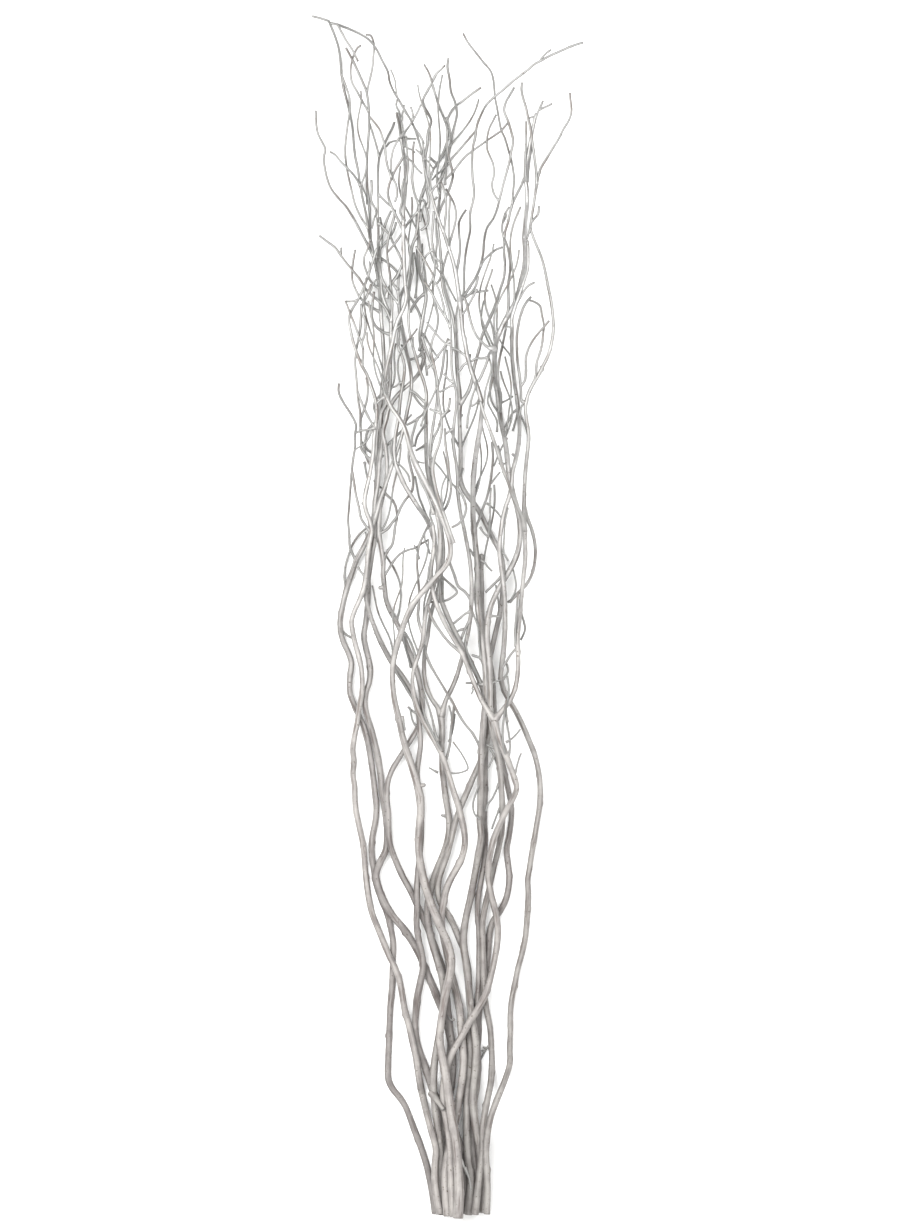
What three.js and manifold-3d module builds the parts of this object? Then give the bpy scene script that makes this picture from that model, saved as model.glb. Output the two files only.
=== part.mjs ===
// A loose bunch of curly willow stems, dried, bare of leaves and painted, lying on a flat surface.
//
// Each stem grew as one piece with its own branches, so each is one closed solid. The stems are not
// tied: they lie across one another in a low pile, cut ends together, the way a bunch settles when
// it is laid down. X runs across the bunch, +Y from the cut ends to the tips, +Z up from the surface.

import * as THREE from "three";
import { mergeVertices } from "three/addons/utils/BufferGeometryUtils.js";
import Module from "manifold-3d";

const wasm = await Module();
wasm.setup();

// Driving dimensions, in millimetres
const PIXEL = 1; // one pixel of the photograph: the bunch is 1.2 m long, as curly willow is sold
const PHOTO_CENTRE_X = 446; // photograph column that becomes X = 0
const PHOTO_CUT_END_Y = 1217; // photograph row that becomes Y = 0, the cut ends
const GAP = 0.4; // clear air kept between two stems that cross
const CHORD = 1.1; // how far a straight length may cut the corner of a stem's bend
const TWIG_CHORD = 1.3;
const LONGEST_STEP = 34; // longest straight length
const SAMPLES_PER_STEP = 7; // places along a straight length where it is kept clear of other stems
const STIFFNESS = 200; // radius of the tightest hump that a stem makes over another
const SETTLE_PASSES = 8; // rounds of raising, one for each look at the slopes
const EASE_PASSES = 5; // rounds of smoothing a stem's heights
const STRAIGHT_BUTT = 180; // length from the cut end that lies flat
const FULL_CURL = 1050; // distance from the cut end where the curl is at its widest
const CURL_HEIGHT = 32; // how far a stem's own corkscrew lifts it off the surface in the crown
const SHORTEST_TURN = 152; // length of one turn of the corkscrew
const LONGEST_TURN = 247;
const LYING_SHARE = 0.2; // share of each turn's rise that is pressed flat where a stem touches down
const LEAST_LEAN = -0.04; // how steeply twigs leave their stem: rise for each millimetre of run
const MOST_LEAN = 0.3;
const TWIG_SHARE = 0.85; // a twig's root is at most this share of its parent's diameter
const OWN_WEIGHT = 2; // how far a point resists the pull of its neighbours while heights are smoothed
const HIGHEST_WISH = 95; // twigs don't reach higher than this of their own accord

// Sides of the section above each diameter: few on a twig, more on a stem, one flat side always down
const SIDES_ABOVE = [[5.2, 6], [3.6, 5], [2.3, 4], [0, 3]];
const sidesFor = diameter => SIDES_ABOVE.find(([least]) => diameter > least)[1];

// What each stem is called, its diameter at a few heights, its run, and the twigs that grow from it.
// Runs are read off the photograph as "column,row", root first, and diameters as "row:millimetres".
const stem = (name, girth, run, ...twigs) => ({ name, girth, run, twigs });
const twig = (rootDiameter, tipDiameter, run) => ({ rootDiameter, tipDiameter, run });
const BUNCH = [
  stem("left_outer", "1216:6.5 800:6 600:5.5 450:4.5 350:4 200:2.5 16:1",
    "435,1216 432,1195 427,1170 421,1150 413.5,1130 406,1110 400,1100 392,1090 388,1080 388,1060 "
    + "389,1035 390,1010 392,985 392.5,962 393,945 391,932 387,915 381,900 376,885 373.5,870 371.5,855 "
    + "372,838 375,822 376,807 374.5,793 372.5,775 370,757 367,740 363.5,727 359,717 354,706 349.5,693 "
    + "349.5,678 351,663 348,653 343,642 340,632 339.5,622 341,611 343.5,599 347,586 351.5,573 356,560 "
    + "362,549 367,539 371,530 373.5,517 375.5,503 376,488 376.5,474 376,460 376,447 377,436 379,424 "
    + "380,412 381,400 382,386 383.5,372 383.5,358 383,344 382,330 381,315 380,300 379,286 377,273 "
    + "374,258 371,243 368,228 366,214 363,200 360,185 358,170 355,155 353.5,142 352,125 349,110 346,97 "
    + "343,85 341,72 340,58 338,45 334,33 329,21 320,18 312,16",
    twig(3, 1.8, "373,256 367,243 360,230 353,217 346,206 338,197 331,188 327,178 324.5,167 323.5,157 "
      + "325,148 321,140 317.5,132 316,123 315.5,110"),
    twig(1.6, 1, "366,228 361,217 355,204 351,188 348,175 346,163 345,150 346,137 348,122 350,108 349,96 "
      + "345,84 341,73"),
    twig(2.2, 1.2, "379,312 372,307 366,303 360,297 355,288 352,279 352,269 353,260 355,249"),
    twig(1.4, 1, "344,590 344,578 345,566 348,555 352,545 359,534 367,527"),
    twig(1.8, 1, "354,560 350,548 349,535 348,520 349,505 350,492 351,480 352,470 353,460 355,448 "
      + "355,435 356,425 350,413 343,402 339,393 339,384"),
    twig(1.2, 1, "341,630 345,634 351,638"),
    twig(1.8, 1, "331,22 337,24 341,31 346,40 352,49 358,61"),
    twig(2.6, 1.4, "371,236 369.5,215 368.5,200 367,187 366.5,172 367,155 368,140 369,125 369,110 "
      + "368,100 366.5,91 360,76 353,61 346,48"),
    twig(1.3, 1, "368,112 364,104 358,93 352,82 350.5,72 352,60 357,48 361,45"),
    twig(1.3, 1, "366.5,92 369,83 372,70 373.5,55 374,45 371,36 366,35"),
    twig(1.2, 1, "360,186 356,178 351,172 347,168 341,162 335,155 330,152"),
    twig(1.6, 1.2, "377,288 371,281 367,273 364,264 364,256 367,249 370,240"),
    twig(1.6, 1.1, "379,420 372,424 367,431 365,440 364,449 366,457 370,465"),
    twig(1.2, 0.9, "371,455 367,449 364,445 361,441")),
  stem("left_back", "1215:8 950:7 800:6.5 650:5.5 540:5 400:4.5 300:3.5 180:2.5 120:1.2",
    "450,1215 449,1195 447,1175 444,1155 442,1135 441.5,1115 443,1098 446,1080 449,1062 451,1047 "
    + "448,1030 443.5,1015 438.5,1003 434,991 429,979 424,967 419,956 412,943 403,929 392,916 384,902 "
    + "378.5,888 376,875 380,863 385.5,851 387,838 386.5,824 384.5,809 382,794 380.5,778 378.5,763 "
    + "375.5,748 371.5,732 367,717 364.5,704 365.5,693 369,682 370,671 368.5,660 365.5,648 363.5,636 "
    + "365.5,622 367,608 368,594 368,580 370,566 372,553 374,541 375,529 374.5,516 375,502 377,488 "
    + "378,475 379,462 381,449 382,437 381,425 382,412 386,404 389,392 390,378 390,363 391,350 391,336 "
    + "391,322 389,312 385,303 382,293 381,281 380,269 378,257 378,243 378,229 377.5,215 378,200 378,185 "
    + "378,170 379,157 381,150 384,143 388,134 392,126 394,120",
    twig(3, 1.2, "391,322 387,311 383,305 378,300 372,295 366,289 361,281 355,273 350,267 345,261 "
      + "340,254 335,247 327,241 319,235"),
    twig(3, 1.5, "391,322 392,305 391,290 390,275 388,262 387,250 388,240 391,228 394,218 395,210"),
    twig(2.2, 1.4, "391,334 386,333 380,330 375,325 372,318 372,309 373,300 374,292"),
    twig(2, 1.4, "379,256 384,259 390,264 396,270 400,275"),
    twig(1.7, 1.2, "377.5,218 375,208 371,200 372,190 371.5,180"),
    twig(2, 1.4, "381,449 387,445 392,440 398,434 402,430"),
    twig(1.3, 1, "340,254 341,251 341,247"),
    twig(2, 1.2, "378,249 384,243 389,237 394,228 396,221"),
    twig(1.1, 0.9, "378,194 382,198 387,203 392,207"),
    twig(1.3, 1, "378,222 384,228 389,234 393,242 397,250 401,259 403,268"),
    twig(1.8, 1.2, "378,241 382,233 385,224 388,216 391,210")),
  stem("left_inner", "1216:7.5 900:6.5 750:5.5 600:5 430:4.5 380:4 250:3.5 130:3 104:1.4",
    "446,1216 452,1176 448,1158 445,1140 446,1120 449,1100 452,1082 453,1065 452,1047 450,1030 448,1012 "
    + "446.5,996 444,980 441,966 436,951 430,936 424,921 417,906 410,891 402,876 395,860 390,845 "
    + "388.5,830 388,813 386.5,797 387.5,783 392,770 398,760 405,749 412,738 418,727 421.5,714 422,700 "
    + "420,686 417,673 412,659 407,647 402,635 396,622 390,611 386,600 384.5,588 383,575 383,562 381,548 "
    + "379,535 379,521 380,508 383,495 386,482 387,469 386.5,456 385,444 383,432 386,420 389,408 395,398 "
    + "402,390 409,384 415,378 420,371 424,358 421,345 420,333 422,320 424,308 426,296 424,284 420,272 "
    + "418,258 419,245 418,232 417,218 419,205 423,192 426,180 425,168 425,155 427,143 428,130 431,119 "
    + "427,110 423,104",
    twig(1.5, 0.9, "423,105 423,98 427,90 431,83 436,73 441,68 445,64"),
    twig(2.5, 1.5, "379,533 386,530 392,523 397,516 401,507 406,499 411,493 413,486 413,477 411,468 "
      + "409,459 409,451"),
    twig(1.8, 1.3, "383,562 387,552 392,545 394,536 395,527 397,518 396,508 393,501 388,496 384,492"),
    twig(1.5, 1.1, "383,577 388,570 393,562 400,554 408,550 415,548 421,544 428,540"),
    twig(1.8, 1.2, "426,292 422,294 417,299 413,305 410,311"),
    twig(1.3, 0.9, "422,322 419,312 415,304 411,298 408,294"),
    twig(2, 1.3, "423,352 418,356 410,359"),
    twig(1.6, 1.2, "423,353 427,348"),
    twig(1.5, 1.2, "424,359 426,367 427,375")),
  stem("centre_crown", "1216:8 1050:7.5 950:6.5 800:6 680:5 450:4 350:3.5 230:3 120:2",
    "463.5,1216 464,1198 464.5,1180 463,1162 459,1144 453,1127 446,1113 439.5,1103 433.5,1093 429,1080 "
    + "424.5,1067 420,1055 416.5,1042 415,1027 416,1012 417.5,997 420.5,982 423,968 421.5,954 418.5,940 "
    + "416.5,924 417,906 417,888 418,870 420,852 421,834 421,816 420.5,800 418,785 417,771 419,757 "
    + "420.5,744 419.5,729 418.5,715 415.5,702 411,691 405,681 398,671 391,662 385,651 379,639 373.5,625 "
    + "369,612 366,599 365.5,586 366.5,573 367.5,560 369,547 371,535 373.5,523 377,511 380,500 384,489 "
    + "387.5,479 391,468 395,457 398.5,446 402,434 405,422 407.5,410 410,398 411.5,386 411,374 409,362 "
    + "406,350 404,339 402,328 400,316 399,304 401,293 406,283 409,271 411,259 412,247 416,235 418,222 "
    + "419,208 421,196 425,188 430,178 434,168 440,157 445,146 448,134 446,120",
    twig(1.6, 1, "446,120 442,112 438,102 435,92 432,82 429,72 424,63"),
    twig(1.6, 1, "446,120 451,110 456,104 463,99 472,92 481,86"),
    twig(1.5, 1.2, "437,162 433,159 429,155"),
    twig(1.6, 1, "419,205 415,195 413,186 412,178 413,168 413,158 413,150 414,142"),
    twig(1.6, 1.3, "420,198 425,202 427,210 428.5,218 427,225 421,230"),
    twig(1.3, 1, "418,211 411,219 405,228 399,238 393,246 388,252"),
    twig(2.5, 1.8, "414,704 409,693 403,683 397,674 394.5,667"),
    twig(1.4, 1.1, "418,714 412,711 408,707")),
  stem("right_broken", "1215:7 880:6 750:5 555:4.5",
    "478.5,1215 480,1196 479,1176 476.5,1157 473,1139 471,1121 470,1103 471,1085 473.5,1068 477,1051 "
    + "478.5,1035 478.5,1019 480.5,1005 483.5,992 486,979 487.5,965 488.5,950 489.5,936 493,923 499,914 "
    + "505,903 508.5,890 509.5,877 508,863 507,850 509.5,836 511.5,821 511.5,806 509,793 506,780 "
    + "503.5,767 500.5,755 497.5,744 495.5,730 494.5,713 494,697 493,681 491,665 487.5,649 484.5,633 "
    + "482.5,617 482,601 482,586 481.5,571 481.5,555"),
  stem("right_slim", "1214:7 950:5.5 750:5 560:5 450:4.5 350:4 250:3 120:2.5 58:1.2",
    "472.5,1214 474,1195 474,1176 472,1157 470.5,1139 472.5,1120 474.5,1103 477,1086 478.5,1069 478,1052 "
    + "476.5,1036 476.5,1020 477.5,1005 478.5,990 479,975 479,960 479,944 478.5,928 477.5,912 478.5,897 "
    + "481,882 483.5,867 485,852 485.5,837 484.5,821 485,804 485.5,787 485.5,769 486,751 486.5,734 "
    + "487.5,717 488.5,700 489,684 489.5,668 491,654 494,640 497,627 500,613 502,600 503,587 503.5,574 "
    + "502.5,562 499,550 493.5,539 487.5,527 481.5,515 475.5,505 469,497 463,488 460,477 460.5,463 "
    + "460.5,448 460,433 459.5,418 460,404 459.5,391 458,379 457,366 456.5,353 456,340 455,328 453,316 "
    + "450,305 446.5,295 444,284 442,272 441,259 440,246 438.5,233 437,220 438.5,207 440,194 440.5,181 "
    + "443,169 447,157 450,145 452,133 455,122 457,112 455,101 451,91 449.5,78 447.5,66 448.5,58",
    twig(3, 1.6, "437,222 441,208 446,197 450,188 453,177 452,170 449,160 447.5,150 447,140 448,130"),
    twig(1.3, 1, "441,177 446,166 452,157 459,149 466,141 472,134 476,129"),
    twig(1.3, 0.9, "452,174 459,165 466,157 474,151 481,146 488,141 494,137 501,132 507,125"),
    twig(4, 2, "460,404 465,397 469,390 472,380 474,368 477,357 480,346 482,336 487,325 491,316 495,306 "
      + "498,297 501,287 504,277 505,265 504,252 504,241 505,232 508,222 510,213 512,205 516,196 521,186 "
      + "524,178"),
    twig(1.7, 0.9, "512,205 513,193 514,181 513,170 511,160 508,150 505,140 501,131 499,121 497,110 "
      + "495,100 494,90 493,81 490,73 483,65 475,55 468,46 463,37"),
    twig(3, 2.6, "503,575 497,581 491,587 486,592"),
    twig(1.8, 1.3, "442,274 440,278 437,283"),
    twig(1.5, 1.2, "442,272 444,264 446,257 448,251"),
    twig(1.5, 1.1, "504,238 502,230 503,221 505,214 509,207")),
  stem("forked", "1216:8 850:7 750:6 717:6",
    "442,1216 441,1195 440.5,1175 440,1155 438.5,1135 436,1115 434,1097 433.5,1080 434.5,1063 437,1047 "
    + "440,1030 443,1012 444,995 442,978 437.5,962 433,947 429.5,932 427.5,917 428,903 431,889 434.5,877 "
    + "439,865 443.5,854 447,843 449,830 448.5,817 446.5,804 444.5,790 443,776 442,762 441.5,748 442,732 "
    + "441,717",
    twig(4.5, 2, "441,717 437.5,708 431.5,699 427,689 424.5,677 424,664 425,650 427.5,638 429,625 "
      + "431.5,612 435,600 438,588 441,575 443,562 443.5,549 442.5,536 440.5,523 438.5,510 435.5,497 "
      + "432,484 431,470 430,455 431,441 433,428 435,415 437,402 437,389 435.5,376 433,364 431,352 "
      + "433,340 437,330 438,318 435,306 433,294 434,282 435,270 434,257 432,243 433,229 434,215"),
    twig(5, 2, "441,717 446,700 451.5,689 456.5,677 460,665 463,654 466,642 469,628 471,613 471.5,598 "
      + "471.5,583 470.5,568 468.5,553 466,540 463.5,527 461,516 459,504 457.5,491 457.5,478 456,464 "
      + "454,450 453,436 454.5,421 456.5,406 456,393 453,381 451.5,368 451.5,355 451,342 450.5,329 "
      + "449,316 446,304 443,293 441.5,281"),
    twig(1.4, 1, "433,252 427,258 423,266 422,276"),
    twig(1.6, 1.2, "458,489 463,498 466,508 464,517 459,524 452,528"),
    twig(1.4, 1, "441,576 449,583 457,592 451,598 444,601 436,602 427,602"),
    twig(2, 1.3, "471,600 465,592 458,586 455,577 452,569 449,561"),
    twig(1.5, 1.1, "471,611 465,614 459,619 453,624"),
    twig(2, 1.4, "470,620 466,627 463,634 461,640"),
    twig(2.5, 2, "443,770 447,757 450,744 451,730 453,716 454,705"),
    twig(1.8, 1.2, "430,452 434,438 438,430 441,420 446,414 450,411"),
    twig(2.5, 1.6, "450.5,331 446,321 441,313 437,306 434,300 431,295 428,290 425,285"),
    twig(1.8, 1.1, "446,321 444,312 442,302 439,293 435,285 432,276 428,269 424,262 419,254 416,250"),
    twig(2.2, 1.6, "434,277 432,283 429,289"),
    twig(1.3, 1, "435,260 438,263 441,265"),
    twig(1.5, 1, "451,348 446,346 441,342 436,336 431,330 427,325"),
    twig(2, 1.3, "434,370 430,361 427,352 424,344 422,338"),
    twig(2.6, 1.6, "451,343 446,347 441,354 436,361 432,366 427,371"),
    twig(2, 1.3, "437,389 441,377 443,366 444,356 446,347 448,340"),
    twig(1.6, 1.2, "453,385 449,382 444,376"),
    twig(1.3, 1, "453,387 449,389 444,392 440,394"),
    twig(1.3, 1, "453,430 449,433 445,436")),
  stem("middle_bow", "1216:7.5 900:6 800:6 660:5 500:4.5 400:3.5 272:2",
    "468.5,1216 470,1197 471,1180 468.5,1163 467,1145 466.5,1127 466.5,1108 467,1090 469,1073 470,1057 "
    + "469.5,1040 470.5,1023 470.5,1007 469.5,991 468.5,975 466.5,961 462.5,948 457.5,936 452.5,924 "
    + "447,914 441.5,906 438,895 438.5,882 442,870 446.5,857 450.5,843 453.5,830 457,817 462,804 "
    + "467.5,791 473,778 478.5,766 483.5,753 487.5,740 489,725 487.5,709 484,694 479,680 473,667 466,653 "
    + "459,640 452.5,627 446.5,614 442,602 440,589 439,576 438,563 436.5,550 434,540 430,527 425,517 "
    + "418,507 411,496 405,486 400,475 395.5,463 394,450 395.5,436 398,421 399.5,407 401,393 403.5,380 "
    + "404.5,367 402,356 398,346 399,330 400,317 399,304 398,290 399,272",
    twig(2.8, 1.8, "399,304 393,297 388,290 384,284 381,276"),
    twig(2.4, 1.5, "398,290 393,283 397,277 400,270 403,262")),
  stem("right_to_crown", "1214:8.6 1000:7.5 800:7 650:6.5 500:5.5 400:5 300:4.5 230:3.5 170:2.5 90:1.5 22:1",
    "484,1214 484,1192 483,1172 481,1156 479,1142 476,1128 474,1112 473,1098 474,1083 475.5,1067 "
    + "476,1050 474.5,1033 471.5,1015 469.5,998 468,980 466,963 463.5,946 464,932 466.5,916 470,901 "
    + "473,886 476,869 479,852 481,838 480,822 480.5,805 481,787 481,768 481.5,750 482.5,733 484,716 "
    + "485.5,700 486,684 485.5,668 484,652 482,636 479.5,620 477.5,604 477,589 477.5,574 477,560 "
    + "475.5,546 474,531 473,516 473,501 473,486 474,471 475.5,457 477.5,444 479.5,432 481,419 482,407 "
    + "479,395 474.5,382 470.5,371 467,358 465,346 462.5,333 461.5,319 460,305 458,291 456,277 453,264 "
    + "449,251 444.5,238 440,226 436,214 433,203 430,192 427,181 424.5,170 422.5,158 419.5,146 416,134 "
    + "411.5,124 405,113 399.5,103 394,94 390,84 388,73 382,61 376,49 369,40 360,33 350,27 336,22",
    twig(2.6, 0.9, "460,304 463,298 464,288 464,275 465,260 467,247 470,232 470,215 473,203 474,193 "
      + "472.5,180 472,165 472.5,152 475,140 477,128 481,118 486,109 494,101 503,94 512,86 520,80 528,74 "
      + "534,69 540,66 549,61 558,57 567,53 575,50 582,48"),
    twig(3, 1.2, "460,303 466,295 471,287 476,279 480,269 483,255 484,242 487,229 493,220 497,210 "
      + "500,198 503,186 506,175 509,164 511,153 513,143 511,133 508,123 504,112 506,103 510,96 514,89"),
    twig(1, 0.9, "499,202 494,195 492,185 494,175 493,165 490,158 487,150 487,140 489,130 493,122 "
      + "496,116"),
    twig(1.1, 0.9, "539,66 542,62 546,58 550,55"),
    twig(1.3, 0.9, "461,301 469,297 474,295 480,294 488,293"),
    twig(1.8, 1.2, "456,277 459,262 460,248 459,235 459,225 462,218 466,212"),
    twig(1.3, 1, "448,250 452,238 455,227 456,217 454,207 450,199 446,192"),
    twig(2.5, 1.6, "481,750 473,734 465,724 458,713 453,703 448,695 442,685 436,675 430,664 426,654 "
      + "424,645"),
    twig(2.5, 2, "485,684 478,684 472,683 466,683"),
    twig(2.5, 1.5, "474,530 479,520 483,508 487,497 490,484 492,470 493,456 492,442"),
    twig(1.4, 1.2, "416,133 419,137 422,142 424,147"),
    twig(2, 1.6, "484,658 478,657 472,655"),
    twig(1.6, 1.2, "466,360 461,355 456,352 452,351"),
    twig(1.3, 0.9, "468.5,364 464,367 461,371 458,375"),
    twig(1, 0.8, "480,269 484,262 489,257 495,252 502,249"),
    twig(1.8, 1.2, "460,301 465,300 469,297 473,293 476,287 478,279"),
    twig(1.5, 1, "461.5,318 466,312 470,305 473,299 477,292"),
    twig(1.3, 1, "430,196 434,192 438,187 441,181"),
    twig(1.5, 1, "443,236 445,226 446,214 446,203 444,194 441,186")),
  stem("right_tall", "1215:7.5 1040:6 700:6 560:5.5 430:5 330:5 230:4.5 150:4 114:3.5",
    "475,1215 477,1197 479,1179 481.5,1161 483,1144 483,1128 485,1112 488,1097 491,1082 492,1066 "
    + "491.5,1048 490,1028 487,1013 485,1000 484,985 483.5,970 483,955 482.5,940 482.5,925 484.5,911 "
    + "487.5,897 490.5,884 493.5,870 497,856 500,842 502,828 502.5,814 502,800 501,785 500,770 498,755 "
    + "494.5,740 491.5,723 490,706 490,690 489.5,675 489,660 487.5,645 487,631 488,618 491,606 496,594 "
    + "502,583 508,573 514,562 518.5,549 520,535 519.5,522 517,508 513,494 510,480 508,466 506.5,452 "
    + "504.5,438 501.5,424 499.5,410 498,396 496,382 494.5,368 494.5,353 497,340 502,328 508,317 514,306 "
    + "518,294 521,281 524,268 525,252 524.5,236 525.5,220 527,205 527,192 525.5,178 526,165 528.5,152 "
    + "531,138 533.5,126 536,114",
    twig(1.4, 0.9, "535,119 539,110 543,101"),
    twig(1, 0.9, "539,110 546,107 552,104"),
    twig(3, 1.6, "494,351 488,350 482,345 476,338 472,329 469,318 467,308 464,300"),
    twig(2.6, 2, "494,350 489,356 487,363 484,371 481,378 478,384"),
    twig(1.3, 1.1, "488,360 481,361 476,361 471,364"),
    twig(3, 2, "500,412 501,398 498,383 498,370 500,357 503,343 505,333 507,322"),
    twig(2, 1.5, "505,322 508,310 508,298 508,285 510,270 509,258 507,248 504,240"),
    twig(1.3, 1.1, "488,616 494,616 500,617")),
  stem("right_outer", "1214:7 1050:6 900:6 750:5.5 600:5 450:4.5 350:4 244:3",
    "487,1214 487.5,1193 487,1172 486,1152 487.5,1134 491,1116 496,1102 501,1090 506,1078 510,1065 "
    + "510,1050 510.5,1033 510.5,1014 512,1000 515,985 518,970 522,955 525.5,939 527,924 528,909 "
    + "528.5,895 528,881 530,868 532,854 534.5,840 537,825 539.5,810 540.5,796 540,782 538,768 534.5,754 "
    + "529,740 523,726 516,712 509.5,701 504,690 500.5,678 502,663 504,646 505,628 505,611 504.5,596 "
    + "503,581 501,567 499.5,553 500,538 502,523 505,509 509,497 511.5,485 512.5,472 515.5,460 518,448 "
    + "519.5,435 519.5,421 518.5,408 517,396 515,384 513.5,371 512,358 511.5,345 511.5,332 511.5,320 "
    + "515,308 519,297 523,285 527,272 527.5,258 527,244",
    twig(1.4, 1, "514,312 518,303 522,296 527,289 534,285"),
    twig(1.5, 1.1, "501,681 505,677 508,671 507,664")),
  stem("left_front", "1214:7 900:6 750:5.5 600:5 480:4.2 400:3.6 310:2.8 248:1.8",
    "440,1214 437,1200 435,1182 435,1165 436,1150 434,1140 429,1122 423,1100 419.5,1082 416.5,1062 "
    + "413,1045 409,1027 404.5,1010 402,995 399,980 394,967 389,957 384,945 378,930 372,915 369,902 "
    + "367,890 365,872 364,858 362.5,845 359,828 355.5,811 354.5,798 354,786 352.5,775 353.5,762 "
    + "352.5,750 354,738 357,722 359,707 361.5,694 362,681 361,667 358,654 355,643 352.5,631 351.5,621 "
    + "354.5,611 359,601 363,591 365.5,579 367,566 368,553 370,541 371.5,531 369.5,520 366,511 364.5,501 "
    + "366.5,489 369.5,476 371.5,463 373.5,450 374,438 376,425 377,412 376,401 371.5,387 367,375 362,366 "
    + "357.5,355 353.5,343 350.5,330 349,318 352,309 357,301 362,291 366,281 369.5,271 373,260 377,248",
    twig(2, 1, "364,460 362,450 361,437 360,425 360,412 358,400 357,388 356,375 355,362 356,350 358,340 "
      + "360,328 361,315 362,305 367,295 371,284"),
    twig(1.6, 1, "374,428 370,420 365,410 361,401 358,392"),
    twig(1.2, 1, "360,430 361,418 364,409 367,398 367.5,386 366,377"),
    twig(1.8, 1.2, "369,532 366,526 361,518 359,508 356,495 354,482 352,470"),
    twig(1.4, 1, "361,366 363,356 363,349 361,342 358,334 354,323 350,313 347,305 345,301"),
    twig(1.3, 1, "376,428 368,430 361,431 356,433"),
    twig(1.5, 1.3, "365,577 361,572 358,567"),
    twig(1.6, 1.1, "361,343 364,336 365.5,328 365,320 362,311 361,304"),
    twig(1.2, 0.9, "357,300 352,301 345,301")),
  stem("middle_slim", "1216:8 1050:7.5 850:6.5 750:5.5 680:4 500:4 400:3.5 320:2.5 235:1.5",
    "447.5,1216 446,1198 445,1180 446.5,1163 449.5,1147 453,1132 456,1118 458,1104 460.5,1090 462.5,1075 "
    + "463.5,1060 462.5,1045 461,1030 460,1014 457.5,999 454,985 450.5,972 447.5,958 444.5,944 442,930 "
    + "441.5,916 443.5,903 446,891 450.5,880 456.5,869 461.5,859 464.5,847 464.5,834 462,821 458.5,807 "
    + "454,793 449.5,778 445.5,765 441,753 434.5,741 427,728 420,715 415.5,702 413,689 412.5,677 415,665 "
    + "419,654 422.5,642 424,629 425.5,615 428.5,602 432.5,590 436,578 438.5,565 440,551 440,537 "
    + "438.5,523 436,509 432.5,495 429.5,482 427,469 426,455 426,440 426,424 426,408 426.5,394 424,382 "
    + "420,371 416.5,359 413,347 410,335 408.5,322 409,309 409,296 409,284 410,270 411,257 413,244 "
    + "418,235",
    twig(3.2, 2.2, "424,634 420,626 418,615 419,603 419,590 418,577 417,563 418,551 420,543 424,534 "
      + "428,526"),
    twig(2, 1.2, "441,517 446,508 450,497 451,486 449,474 448,462 446,450 445,440 445,430"),
    twig(1.4, 1, "409,291 411,280 413,270 413,260 414,253"),
    twig(2, 1.5, "426,403 421,399 417,395 413,392 410,391"),
    twig(1.5, 1.1, "426,409 421,405 417,400 413,394"),
    twig(1.6, 1.1, "426,409 422,415 416,420 411,423 407,425"),
    twig(1.3, 1, "418,418 416,423 414,430 412,438 413,447"),
    twig(1.6, 1.2, "426,423 421,430 417,437 415,446"),
    twig(1.4, 1, "426,444 421,447 416,450")),
  stem("right_wishbone", "1216:7 950:6.5 800:6 720:6",
    "453,1216 452,1196 451,1176 450.5,1156 449,1136 446,1118 443.5,1101 443.5,1085 446,1070 450.5,1057 "
    + "456,1046 462.5,1035 469,1023 476,1012 483,1000 488,988 491.5,975 494.5,961 497,946 498,931 "
    + "496.5,917 493.5,904 490.5,892 488.5,879 488.5,866 490.5,853 493.5,840 498,828 503,817 508,807 "
    + "513,798 516.5,788 514,777 509,763 503,748 498,735 494,720",
    twig(5, 4, "494,720 488,711 482,701 477,690 472,678 467,665 461.5,652 455,641 448,629 441.5,616 "
      + "436.5,604 433,592 431,579 431.5,566 433.5,552 434.5,539 433,526"),
    twig(5, 2, "494,720 500,713 507,704 512.5,695 516,684 518,669 518,654 517.5,639 519,623 520.5,607 "
      + "522,591 523.5,576 525,561 525,546 524.5,531 524,516 524,501 524.5,486 525.5,471 527,456 "
      + "528.5,442 528.5,430 526.5,418 525.5,406 528,395 532.5,385 538,376 543,366 548,356 551.5,344 "
      + "553.5,330 553,315 551,300 548,285 545,270 541.5,257 537,246 533,236 530.5,227 532,215 534,203 "
      + "536,190 538,178 541,168 547,158 553,148 558.5,139 563.5,129 569,120 571.5,111 570.5,100 570,93"),
    twig(3, 2, "461,653 454,647 447,640 440,631 434,622 430,613 428,605"),
    twig(4.5, 3.5, "524,531 522,519 517,507 512,496 508,484 503,471 499,459 495,447 491,436 487,425 "
      + "483,414 480,404"),
    twig(4, 3.2, "524,508 528,520 532,531 535,545 535,560 532,574 526,585 518,593 510,602"),
    twig(2.5, 1.6, "527,402 522,401 521,390 520,378 518,365 517,350 517,335 519,322 522,311 526,303 "
      + "531,297"),
    twig(1.4, 1, "522,386 525,380 526,370 526,358 528,350 532,342 537,335 543,328 549,321"),
    twig(1.6, 1, "533,384 536,374 537,362 540,353 542,345 543,335 544,326 542,315 540,306 535,302 "
      + "529,300"),
    twig(2.6, 2.2, "543,372 543,369 541,366"),
    twig(3, 1.8, "537,185 536,170 534,155 532,140 530,127 528,118 526,108 523,98 521.5,90 522,83"),
    twig(1.5, 1.1, "518,647 511,654 506,662 502,668"),
    twig(1.4, 1.1, "520,610 524,622 525,630 521,640"),
    twig(1.6, 1.3, "534,222 538,214 539,206")),
  stem("centre_front", "1217:10 1050:8 800:8 700:6 600:5.5 480:5 350:4 200:4 112:3",
    "458,1217 459,1195 458.5,1172 457,1152 455,1135 452,1117 449.5,1100 447,1084 444.5,1068 441.5,1053 "
    + "439.5,1038 441,1022 443.5,1006 446,992 449,979 451,966 450,953 446.5,941 441,929 436,917 431,904 "
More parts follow.
